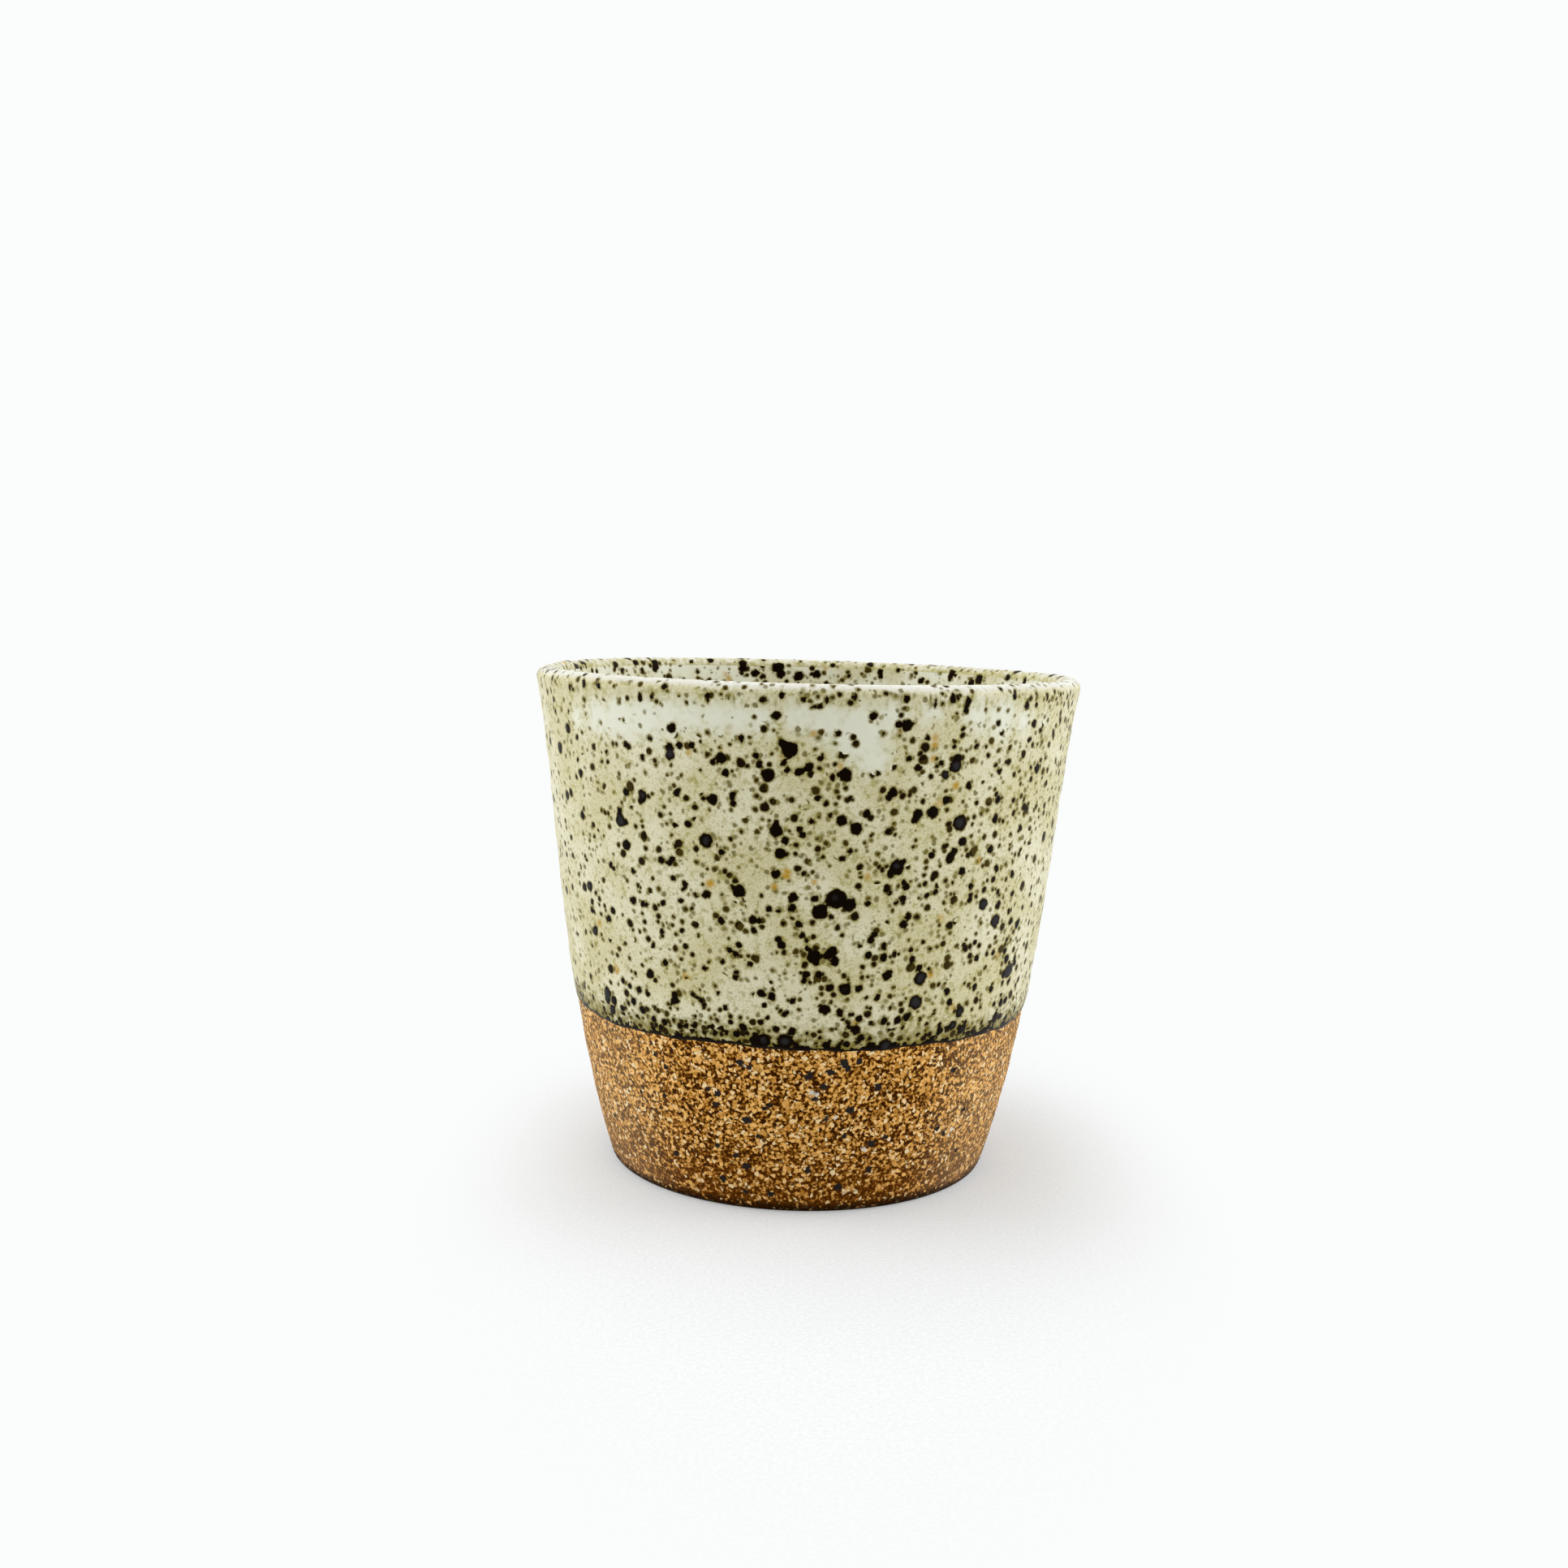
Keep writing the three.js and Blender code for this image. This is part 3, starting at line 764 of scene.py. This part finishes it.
class Recipe:
    """The nodes of a finish, or of the room, with short ways to add the few kinds that they need."""

    def __init__(self, owner):
        owner.use_nodes = True
        self.nodes = owner.node_tree.nodes
        self.links = owner.node_tree.links
        self.coordinates = self.nodes.new("ShaderNodeTexCoord").outputs
        self.place = self.coordinates["Object"]

    def put(self, socket, value):
        """Gives a socket its value, fixed or from another node."""
        if isinstance(value, bpy.types.NodeSocket):
            self.links.new(value, socket)
        else:
            socket.default_value = value

    def set_inputs(self, node, values):
        """Gives several inputs of a node their values."""
        for name, value in values.items():
            self.put(node.inputs[name], value)

    def math(self, operation, first, second):
        """Arithmetic on two numbers."""
        node = self.nodes.new("ShaderNodeMath")
        node.operation = operation
        self.set_inputs(node, {0: first, 1: second})
        return node.outputs[0]

    def vector_math(self, operation, *values):
        """Arithmetic on places, as the outputs of its node."""
        node = self.nodes.new("ShaderNodeVectorMath")
        node.operation = operation
        self.set_inputs(node, dict(enumerate(values)))
        return node.outputs

    def rise(self, value, low, high, start=0.0, end=1.0, easing="SMOOTHSTEP"):
        """A rise from start to end as the value goes from low to high."""
        node = self.nodes.new("ShaderNodeMapRange")
        node.interpolation_type = easing
        limits = {"From Min": low, "From Max": high, "To Min": start, "To Max": end}
        self.set_inputs(node, {"Value": value, **limits})
        return node.outputs["Result"]

    def tint(self, under, over, amount):
        """One colour over another by an amount."""
        node = self.nodes.new("ShaderNodeMix")
        node.data_type = "RGBA"
        self.set_inputs(node, {"Factor": amount, 6: under, 7: over})
        return node.outputs[2]

    def scale_of(self, value, stops, easing="LINEAR"):
        """Colours along a value, each stop as its place and its colour."""
        node = self.nodes.new("ShaderNodeValToRGB")
        node.color_ramp.interpolation = easing
        self.put(node.inputs["Fac"], value)
        steps = node.color_ramp.elements
        while len(steps) < len(stops):
            steps.new(1.0)
        for step, (mark, colour) in zip(steps, stops):
            step.position = mark
            step.color = colour
        return node.outputs["Color"]

    def part(self, vector, axis):
        """One of the three numbers of a place or a direction."""
        node = self.nodes.new("ShaderNodeSeparateXYZ")
        self.put(node.inputs[0], vector)
        return node.outputs[axis]

    def clouds(self, size, detail=2.0, place=None):
        """Soft noise with clouds of about that size."""
        node = self.nodes.new("ShaderNodeTexNoise")
        self.set_inputs(node, {"Vector": place or self.place, "Scale": 1 / size, "Detail": detail})
        return node.outputs["Fac"]

    def shaken(self, size, amount):
        """The place, pushed about by clouds of that size."""
        push = self.clouds(size).node.outputs["Color"]
        return self.vector_math("MULTIPLY_ADD", push, (amount, amount, amount), self.place)[0]

    def moved(self, place, shift):
        """The place moved aside, for another part of the same pattern."""
        return self.vector_math("ADD", place, (shift, -2 * shift, 3 * shift))[0]

    def drawn_down(self, times):
        """The place squeezed in height, so that clouds on it run that many times longer down the wall."""
        node = self.nodes.new("ShaderNodeMapping")
        self.set_inputs(node, {"Vector": self.place, "Scale": (1, 1, 1 / times)})
        return node.outputs["Vector"]

    def cells(self, place, spacing, feature="F1"):
        """Cells round points at random, about that far apart."""
        node = self.nodes.new("ShaderNodeTexVoronoi")
        node.feature = feature
        self.set_inputs(node, {"Vector": place, "Scale": 1 / spacing})
        return node.outputs

    def rolls(self, cells):
        """Three numbers at random for each cell."""
        node = self.nodes.new("ShaderNodeSeparateColor")
        self.put(node.inputs[0], cells["Color"])
        return node.outputs

    def left_out(self, depth, roll, share, softness, spacing):
        """The same depth where a cell's roll is within the share, and far outside in the other cells."""
        missing = self.rise(self.math("SUBTRACT", share, roll), 0.0, softness, -spacing, 0.0)
        return self.math("ADD", depth, missing)

    def specks(self, place, layer, share):
        """How deep inside a speck the place is, in metres, and a roll for each speck's colour."""
        shift, spacing, smallest, largest = layer
        cells = self.cells(self.moved(place, shift), spacing)
        size_roll, share_roll, colour_roll = self.rolls(cells)
        size = self.rise(size_roll, 0.0, 1.0, smallest, largest)
        depth = self.math("SUBTRACT", size, self.math("MULTIPLY", cells["Distance"], spacing))
        return self.left_out(depth, share_roll, share, 0.1, spacing), colour_roll

    def flakes(self, place, layer, share):
        """How deep inside a flake of crazy paving the place is, in metres, and a roll for its colour."""
        shift, spacing = layer
        place = self.moved(place, shift)
        _, share_roll, colour_roll = self.rolls(self.cells(place, spacing))
        edge = self.cells(place, spacing, "DISTANCE_TO_EDGE")["Distance"]
        depth = self.math("MULTIPLY", edge, spacing)
        return self.left_out(depth, share_roll, share, 0.05, spacing), colour_roll

    def note(self, name):
        """The number of that name that the piece keeps for each point."""
        node = self.nodes.new("ShaderNodeAttribute")
        node.attribute_name = name
        return node.outputs["Fac"]

    def bump(self, height, distance, under=None):
        """Fine relief, over other relief if there is any."""
        node = self.nodes.new("ShaderNodeBump")
        self.set_inputs(node, {"Height": height, "Distance": distance})
        if under:
            self.put(node.inputs["Normal"], under)
        return node.outputs["Normal"]

    def looked_at(self):
        """1 where the camera, a mirror or glass looks straight at a thing, 0 where it only gives light."""
        ray = self.nodes.new("ShaderNodeLightPath").outputs
        looked = ray["Is Camera Ray"]
        for kind in ("Is Glossy Ray", "Is Transmission Ray"):
            looked = self.math("MAXIMUM", looked, ray[kind])
        return looked


# Colours of the glaze
CREAM = (0.69, 0.64, 0.37, 1)
PALE_CREAM = (0.81, 0.78, 0.55, 1)
OLIVE_CREAM = (0.45, 0.41, 0.14, 1)
THICK_GLAZE = (0.87, 0.88, 0.71, 1)
CREST_GLAZE_AND_HIGHLIGHT = (0.74, 0.75, 0.68, 1)
OLIVE_SPECK = (0.15, 0.12, 0.018, 1)
AMBER = (0.53, 0.31, 0.03, 1)
OLIVE_HALO = (0.25, 0.205, 0.035, 1)
BROWN_HALO = (0.06, 0.04, 0.005, 1)
IRON_BROWN = (0.009, 0.005, 0.001, 1)
IRON_BLACK = (0.003, 0.0015, 0.0005, 1)
IRON_GREY_AND_SHEEN = (0.025, 0.024, 0.025, 1)
SPECK_SCALE = ((0.0, BROWN_HALO), (0.5, IRON_BROWN))

# How glaze and clay take the light
WARM_GLOSS = (1.0, 0.5, 0.2, 1)
WARM_SHEEN = (1.0, 0.97, 0.92, 1)
SHEEN_ROUGHNESS = 0.4
GLAZE_ROUGHNESS = 0.42
IRON_ROUGHNESS = 0.36
CLAY_ROUGHNESS = 0.85
GLAZE_GLOSS = 0.03
CLAY_GLOSS = 0.02
DIPPED_SHEEN = 0.08
LINER_SHEEN = 0.0
CLAY_SHEEN = 0.05

# Sizes of the clouds that vary the glaze and the clay, and depths of the finest relief
BROAD_CLOUDS = 9 * MM
FINE_CLOUDS = 0.9 * MM
GRAINY_CLOUDS = 0.28 * MM
CROWDED_CLOUDS = 5 * MM
RUN_CLOUDS = 0.9 * MM
RUN_STRETCH = 2.5
RAGGED_CLOUDS = 0.8 * MM
REACH_CLOUDS = 1.2 * MM
SKIN_CLOUDS = 2.2 * MM
CRUMB_CLOUDS = 0.48 * MM
PATCH_CLOUDS = 6 * MM
CLAY_RAGGED_CLOUDS = 0.5 * MM
SKIN_RELIEF = 0.05 * MM
IRON_RELIEF = 0.02 * MM
CRUMB_RELIEF = 0.1 * MM

# Layers of specks: shift of the pattern, spacing, and smallest and largest radius
FAINT_SPECKS = (0.31, 1.1 * MM, 0.1 * MM, 0.4 * MM)
RUSTY_SPECKS = (0.77, 4.6 * MM, 0.4 * MM, 1.0 * MM)
SMALL_SPECKS = (0.13, 1.35 * MM, 0.18 * MM, 0.42 * MM)
MEDIUM_SPECKS = (0.59, 2.6 * MM, 0.34 * MM, 0.66 * MM)
GATHERED_SPECKS = (0.83, 1.2 * MM, 0.24 * MM, 0.66 * MM)
CLAY_SPECKS = (0.41, 2.0 * MM, 0.12 * MM, 0.3 * MM)
MEDIUM_SHARE = 0.52
RUSTY_SHARE = 0.10
CLAY_SPECK_SHARE = 0.6


def cream_ground(mix, broad, fine):
    """Mottled cream with olive flecks and a fine grain."""
    grainy = mix.clouds(GRAINY_CLOUDS, 1.0)
    colour = mix.tint(CREAM, PALE_CREAM, mix.rise(broad, 0.4, 0.65))
    flecks = mix.math("MULTIPLY", mix.rise(fine, 0.52, 0.68), mix.rise(broad, 0.4, 0.62, 0.95, 0.55))
    colour = mix.tint(colour, OLIVE_CREAM, flecks)
    colour = mix.tint(colour, OLIVE_CREAM, mix.rise(grainy, 0.5, 0.72, 0.0, 0.5))
    return mix.tint(colour, PALE_CREAM, mix.rise(grainy, 0.5, 0.28, 0.0, 0.5))


def olive_line(mix, colour, above, fine, crowded):
    """Olive haze and stains where the coat thins out above its line."""
    haze = mix.math("MULTIPLY", mix.rise(above, 0.2 * MM, 5 * MM, 0.85, 0.0), mix.rise(fine, 0.38, 0.62))
    colour = mix.tint(colour, OLIVE_SPECK, haze)
    stain = mix.rise(above, 0.5 * MM, 3.5 * MM, 0.65, 0.0)
    stain = mix.math("MULTIPLY", stain, mix.rise(crowded, 0.38, 0.6, 0.3, 1.0))
    return mix.tint(colour, OLIVE_HALO, stain)


def streaked_lip(mix, colour, broad, fine):
    """Streaks down the shoulder of the lip, a paler crest that is partly a painted highlight, and an olive
    inner side that is partly painted shade.
    """
    height = mix.part(mix.place, "Z")
    shoulder = mix.math(
        "MULTIPLY",
        mix.rise(height, CUP_HEIGHT - 3.8 * MM, CUP_HEIGHT - 2 * MM),
        mix.rise(height, CUP_HEIGHT - 1.6 * MM, CUP_HEIGHT - 0.6 * MM, 1.0, 0.0),
    )
    shoulder = mix.math("MULTIPLY", shoulder, mix.rise(broad, 0.4, 0.62, 0.25, 1.0))
    runs = mix.clouds(RUN_CLOUDS, 2.0, mix.drawn_down(RUN_STRETCH))
    streaks = mix.math("MULTIPLY", shoulder, mix.rise(runs, 0.44, 0.62, 0.1, 0.8))
    colour = mix.tint(colour, OLIVE_CREAM, streaks)
    dark_streaks = mix.math("MULTIPLY", shoulder, mix.rise(runs, 0.58, 0.7, 0.0, 0.85))
    colour = mix.tint(colour, OLIVE_SPECK, dark_streaks)
    # A paler crest: partly glaze breaking pale at the rim, partly a painted highlight along it
    crest = mix.rise(height, CUP_HEIGHT - 1.1 * MM, CUP_HEIGHT - 0.3 * MM, 0.0, 0.6)
    colour = mix.tint(colour, CREST_GLAZE_AND_HIGHLIGHT, crest)
    # Olive inner side of the lip: partly the glaze's own tone, partly painted shade
    olive_and_shaded_inner_side = mix.math("MULTIPLY", mix.note("over_lip"), mix.rise(fine, 0.4, 0.6, 0.15, 0.7))
    return mix.tint(colour, OLIVE_CREAM, olive_and_shaded_inner_side)


def speckled_glaze(name, dipped):
    """Cream glaze with iron specks and blooms, for the dipped coat or for the liner."""
    finish = bpy.data.materials.new(name)
    mix = Recipe(finish)
    place = mix.shaken(1.1 * MM, 0.5 * MM)
    broad = mix.clouds(BROAD_CLOUDS, 3.0)
    fine = mix.clouds(FINE_CLOUDS, 3.0)
    crowded = mix.clouds(CROWDED_CLOUDS, 2.0, mix.moved(mix.place, 0.2))
    colour = cream_ground(mix, broad, fine)
    small_share = mix.rise(crowded, 0.36, 0.62, 0.4, 1.1)
    faint_share = mix.rise(crowded, 0.4, 0.62, 0.6, 1.1)
    medium_share = MEDIUM_SHARE
    if dipped:
        above = mix.note("above_line")
        near_line = mix.rise(above, 0.0, 7 * MM, 1.0, 0.0)
        edge = mix.math("ADD", mix.note("pale_edge"), mix.rise(fine, 0.3, 0.7, -0.5 * MM, 0.5 * MM))
        pale = mix.rise(edge, -2 * MM, 1.6 * MM, 1.0, 0.0)
        thin_out = mix.math("MULTIPLY", mix.rise(pale, 0.0, 1.0, 1.0, 0.35), mix.note("speck_share"))
        small_share = mix.math("MULTIPLY", mix.math("ADD", small_share, near_line), thin_out)
        faint_share = mix.math("MULTIPLY", mix.math("ADD", faint_share, near_line), thin_out)
        medium_share = mix.math("MULTIPLY", medium_share, thin_out)
        colour = mix.tint(colour, THICK_GLAZE, mix.math("MULTIPLY", pale, 0.9))
        colour = olive_line(mix, colour, above, fine, crowded)
        colour = streaked_lip(mix, colour, broad, fine)
    else:
        colour = mix.tint(colour, THICK_GLAZE, mix.rise(broad, 0.36, 0.6, 0.2, 0.8))
    rust = mix.rise(mix.note("stain_edge"), -0.4 * MM, 0.4 * MM, 1.0, 0.0)
    colour = mix.tint(colour, AMBER, mix.math("MULTIPLY", rust, mix.rise(fine, 0.3, 0.55, 0.35, 1.0)))
    faint, _ = mix.specks(place, FAINT_SPECKS, faint_share)
    colour = mix.tint(colour, OLIVE_SPECK, mix.rise(faint, -0.14 * MM, 0.12 * MM, 0.0, 0.85))
    rusty, _ = mix.specks(place, RUSTY_SPECKS, RUSTY_SHARE)
    colour = mix.tint(colour, AMBER, mix.rise(rusty, -0.3 * MM, 0.5 * MM, 0.0, 0.6))

    small, speck_roll = mix.specks(place, SMALL_SPECKS, small_share)
    medium, _ = mix.specks(place, MEDIUM_SPECKS, medium_share)
    dark = mix.math("MAXIMUM", small, medium)
    ragged = mix.rise(mix.clouds(RAGGED_CLOUDS), 0.25, 0.75, -0.14 * MM, 0.14 * MM)
    bloom = mix.math("SUBTRACT", ragged, mix.note("bloom_edge"))
    bloom_colour = IRON_BLACK
    if dipped:
        reach = mix.rise(mix.clouds(REACH_CLOUDS), 0.42, 0.7, 0.3 * MM, 1.4 * MM)
        bloom = mix.math("MAXIMUM", bloom, mix.math("SUBTRACT", reach, above))
        gathered_share = mix.rise(above, 0.6 * MM, 4.2 * MM, 0.8, 0.0)
        gathered, _ = mix.specks(place, GATHERED_SPECKS, gathered_share)
        dark = mix.math("MAXIMUM", dark, gathered)
        # Grey middles in the blooms, and a grey edge along the dark strip at the glaze line: partly
        # metallic iron skin, partly painted sheen
        heart = mix.rise(mix.math("SUBTRACT", ragged, mix.note("heart_edge")), -0.1 * MM, 0.55 * MM)
        heart = mix.math("MAXIMUM", heart, mix.rise(above, 0.15 * MM, 0.5 * MM, 0.25, 0.0))
        bloom_colour = mix.tint(IRON_BLACK, IRON_GREY_AND_SHEEN, heart)
    deepest = mix.math("MAXIMUM", dark, bloom)
    colour = mix.tint(colour, OLIVE_HALO, mix.rise(deepest, -0.36 * MM, 0.0, 0.0, 0.85))
    colour = mix.tint(colour, BROWN_HALO, mix.rise(deepest, -0.12 * MM, 0.04 * MM, 0.0, 0.9))
    in_speck = mix.rise(dark, -0.02 * MM, 0.09 * MM)
    colour = mix.tint(colour, mix.scale_of(speck_roll, SPECK_SCALE), in_speck)
    in_bloom = mix.rise(bloom, -0.04 * MM, 0.07 * MM)
    colour = mix.tint(colour, bloom_colour, in_bloom)
    iron = mix.math("MAXIMUM", in_bloom, in_speck)
    skin = mix.bump(mix.clouds(SKIN_CLOUDS), SKIN_RELIEF)
    mix.set_inputs(mix.nodes["Principled BSDF"], {
        "Base Color": colour,
        "Roughness": mix.rise(iron, 0.0, 1.0, GLAZE_ROUGHNESS, IRON_ROUGHNESS),
        "Specular IOR Level": GLAZE_GLOSS,
        "Specular Tint": WARM_GLOSS,
        "Sheen Weight": DIPPED_SHEEN if dipped else LINER_SHEEN,
        "Sheen Roughness": SHEEN_ROUGHNESS,
        "Sheen Tint": WARM_SHEEN,
        "Normal": mix.bump(iron, IRON_RELIEF, skin),
    })
    return finish


# Colours of the clay, and its layers of flat grains as shift of the pattern and spacing
GAP = (0.038, 0.010, 0.0005, 1)
BROWN_GROUND = (0.11, 0.034, 0.002, 1)
GOLDEN_GROUND = (0.235, 0.085, 0.008, 1)
ORANGE_GROUND = (0.44, 0.19, 0.025, 1)
ORANGE_GRAIN = (0.56, 0.235, 0.03, 1)
PEACH_GRAIN = (1.0, 0.57, 0.16, 1)
PALE_GRAIN = (1.0, 0.82, 0.48, 1)
LOW_BROWN_AND_SHADE = (0.2, 0.055, 0.001, 1)
PAINTED_FLANK_LIGHT = (0.85, 0.62, 0.34, 1)
FOOT_EDGE_PAINTED_SHADE = (0.012, 0.005, 0.001, 1)
BLACK_GRAIN = (0.024, 0.020, 0.018, 1)
QUARTZ = (0.85, 0.77, 0.62, 1)
GROUND_SCALE = (
    (0.41, GAP),
    (0.47, BROWN_GROUND),
    (0.525, GOLDEN_GROUND),
    (0.58, ORANGE_GROUND),
    (0.66, PEACH_GRAIN),
)
GRAIN_SCALE = ((0.0, ORANGE_GRAIN), (0.6, PEACH_GRAIN), (1.0, PALE_GRAIN))
GRAIN_LAYERS = ((0.17, 0.43 * MM), (0.67, 0.58 * MM))


def gritty_clay():
    """Bare stoneware, crumbly brown with pale flat grains, black iron and quartz, with painted shade low
    down and painted light at the sides.
    """
    finish = bpy.data.materials.new("gritty bare stoneware")
    mix = Recipe(finish)
    place = mix.shaken(0.5 * MM, 0.35 * MM)
    height = mix.part(mix.place, "Z")
    crumbs = mix.clouds(CRUMB_CLOUDS, 1.5, place)
    patches = mix.clouds(PATCH_CLOUDS, 3.0)
    level = mix.math("ADD", crumbs, mix.rise(patches, 0.3, 0.7, 0.03, -0.03))
    # Darker and browner towards the foot, with fewer pale grains: partly the clay's own browner tone,
    # partly painted shade from the table
    level = mix.math("ADD", level, mix.rise(height, 0.0, 12 * MM, -0.04, 0.0))
    colour = mix.scale_of(level, GROUND_SCALE)
    colour = mix.tint(colour, LOW_BROWN_AND_SHADE, mix.rise(height, 2 * MM, 13 * MM, 0.35, 0.0))
    grain_share = mix.rise(height, 0.0, 12 * MM, 0.18, 0.29)
    for layer in GRAIN_LAYERS:
        grain, grain_roll = mix.flakes(place, layer, grain_share)
        colour = mix.tint(colour, mix.scale_of(grain_roll, GRAIN_SCALE), mix.rise(grain, 0.0, 0.06 * MM))
    # Painted light: paler peach towards the left and right sides
    colour = mix.tint(colour, PAINTED_FLANK_LIGHT, mix.rise(mix.note("painted_flank_light"), 0.0, 1.0, 0.0, 0.15))
    # Painted shade: the outer edge of the foot is darkened towards the table, where it turns under
    foot_shade = mix.math("SUBTRACT", mix.rise(crumbs, 0.35, 0.65, 0.5 * MM, 1.7 * MM), height)
    painted_foot_shade = mix.rise(foot_shade, -0.3 * MM, 0.2 * MM, 0.0, 0.92)
    colour = mix.tint(colour, FOOT_EDGE_PAINTED_SHADE, mix.math("MULTIPLY", painted_foot_shade, mix.note("outer_edge")))
    ragged = mix.rise(mix.clouds(CLAY_RAGGED_CLOUDS, 1.0), 0.25, 0.75, -0.16 * MM, 0.16 * MM)
    black = mix.rise(mix.math("SUBTRACT", ragged, mix.note("black_edge")), -0.12 * MM, 0.04 * MM)
    tiny, _ = mix.specks(place, CLAY_SPECKS, CLAY_SPECK_SHARE)
    black = mix.math("MAXIMUM", black, mix.rise(tiny, -0.05 * MM, 0.08 * MM, 0.0, 0.8))
    colour = mix.tint(colour, BLACK_GRAIN, black)
    quartz = mix.math("SUBTRACT", ragged, mix.note("quartz_edge"))
    colour = mix.tint(colour, QUARTZ, mix.rise(quartz, -0.08 * MM, 0.1 * MM, 0.0, 0.9))
    mix.set_inputs(mix.nodes["Principled BSDF"], {
        "Base Color": colour,
        "Roughness": CLAY_ROUGHNESS,
        "Specular IOR Level": CLAY_GLOSS,
        "Specular Tint": WARM_GLOSS,
        "Sheen Weight": CLAY_SHEEN,
        "Sheen Roughness": SHEEN_ROUGHNESS,
        "Normal": mix.bump(crumbs, CRUMB_RELIEF),
    })
    return finish


# The table, the lights and the camera

TABLE_SIZE = 6
TABLE_DROP = 0.01 * MM
FLOOR_WHITE = (0.79, 0.795, 0.73, 1)
FLOOR_GREY = (0.695, 0.705, 0.635, 1)
FLOOR_SCALE = ((0.35, FLOOR_GREY), (0.65, FLOOR_WHITE))
FLOOR_WEAVE = 0.5 * MM
PAPER_WHITE = (0.965, 0.98, 0.975, 1)
SHADOW_MIDDLE = (4 * MM, 0, 0)
SHADOW_SHAPE = (1, 0.45, 1)
SHADOW_LIGHTENED = 0.36
SHADOW_REACH = 30 * MM
WHITE_BEYOND = 62 * MM

# Walls of the room from front to back: mark, brightness and tint
FRONT_TINT = (1.0, 0.93, 0.8, 1)
SIDE_TINT = (0.975, 0.99, 1.13, 1)
WALLS = (
    (0.0, 0.3, FRONT_TINT),
    (0.55, 0.88, SIDE_TINT),
    (1.0, 0.27, SIDE_TINT),
)

# Soft lamps: name, place, width, height and power
SOFTBOXES = (
    ("overhead softbox", (-0.12, 0.0, 0.85), 0.7, 0.6, 3.4),
    ("left softbox", (-0.6, 0.05, 0.3), 0.4, 0.5, 1.55),
    ("right softbox", (0.6, 0.05, 0.3), 0.4, 0.5, 1.95),
)


def table():
    """A white table that keeps the cup's shadow and fades to plain white further out."""
    bpy.ops.object.select_all(action="DESELECT")
    bpy.ops.mesh.primitive_plane_add(size=TABLE_SIZE, location=(0, 0, -TABLE_DROP))
    floor = bpy.context.object
    floor.name = "white_table"
    paper = bpy.data.materials.new("white table")
    mix = Recipe(paper)
    surface = mix.nodes["Principled BSDF"]
    cloth = mix.scale_of(mix.clouds(FLOOR_WEAVE), FLOOR_SCALE)
    mix.set_inputs(surface, {"Base Color": cloth, "Roughness": 0.9, "Specular IOR Level": 0.1})
    glow = mix.nodes.new("ShaderNodeEmission")
    mix.put(glow.inputs["Color"], PAPER_WHITE)
    stretched = mix.vector_math("MULTIPLY", mix.place, SHADOW_SHAPE)["Vector"]
    far = mix.vector_math("DISTANCE", stretched, SHADOW_MIDDLE)["Value"]
    fade = mix.rise(far, SHADOW_REACH, WHITE_BEYOND, SHADOW_LIGHTENED, 1.0)
    amount = mix.math("MULTIPLY", fade, mix.looked_at())
    blend = mix.nodes.new("ShaderNodeMixShader")
    mix.set_inputs(blend, {0: amount, 1: surface.outputs[0], 2: glow.outputs[0]})
    mix.put(mix.nodes["Material Output"].inputs["Surface"], blend.outputs[0])
    floor.data.materials.append(paper)


def white_room():
    """Pale walls all round, brightest at the cup's sides, that look plain white to the camera."""
    world = bpy.data.worlds.new("white room")
    bpy.context.scene.world = world
    mix = Recipe(world)
    toward_back = mix.part(mix.coordinates["Generated"], "Y")
    facing = mix.rise(toward_back, -1.0, 1.0, easing="LINEAR")
    stops = [(mark, [level * part for part in tint]) for mark, level, tint in WALLS]
    walls = mix.scale_of(facing, stops, "EASE")
    shown = mix.tint(walls, PAPER_WHITE, mix.looked_at())
    mix.put(mix.nodes["Background"].inputs["Color"], shown)


def softbox(name, place, width, height, power):
    """A soft lamp that faces the cup."""
    lamp = bpy.data.lights.new(name, "AREA")
    lamp.shape = "RECTANGLE"
    lamp.size = width
    lamp.size_y = height
    lamp.energy = power
    lamp.color = SIDE_TINT[:3]
    stand = bpy.data.objects.new(name, lamp)
    stand.location = place
    toward_cup = Vector((0, 0, CUP_HEIGHT / 2)) - Vector(place)
    stand.rotation_euler = toward_cup.to_track_quat("-Z", "Y").to_euler()
    bpy.context.scene.collection.objects.link(stand)


def camera():
    """The camera that took the photograph."""
    lens = bpy.data.cameras.new("camera")
    lens.sensor_fit = "HORIZONTAL"
    lens.sensor_width = SENSOR_WIDTH
    lens.lens = LENS
    lens.clip_start = 0.01
    eye = bpy.data.objects.new("camera", lens)
    eye.matrix_world = Matrix.Translation(CAMERA_PLACE) @ camera_turn.to_4x4()
    bpy.context.scene.collection.objects.link(eye)
    bpy.context.scene.camera = eye


stoneware()
outer_glaze()
liner_glaze()
table()
white_room()
for lamp_settings in SOFTBOXES:
    softbox(*lamp_settings)
camera()
bpy.context.scene.view_settings.view_transform = "Standard"
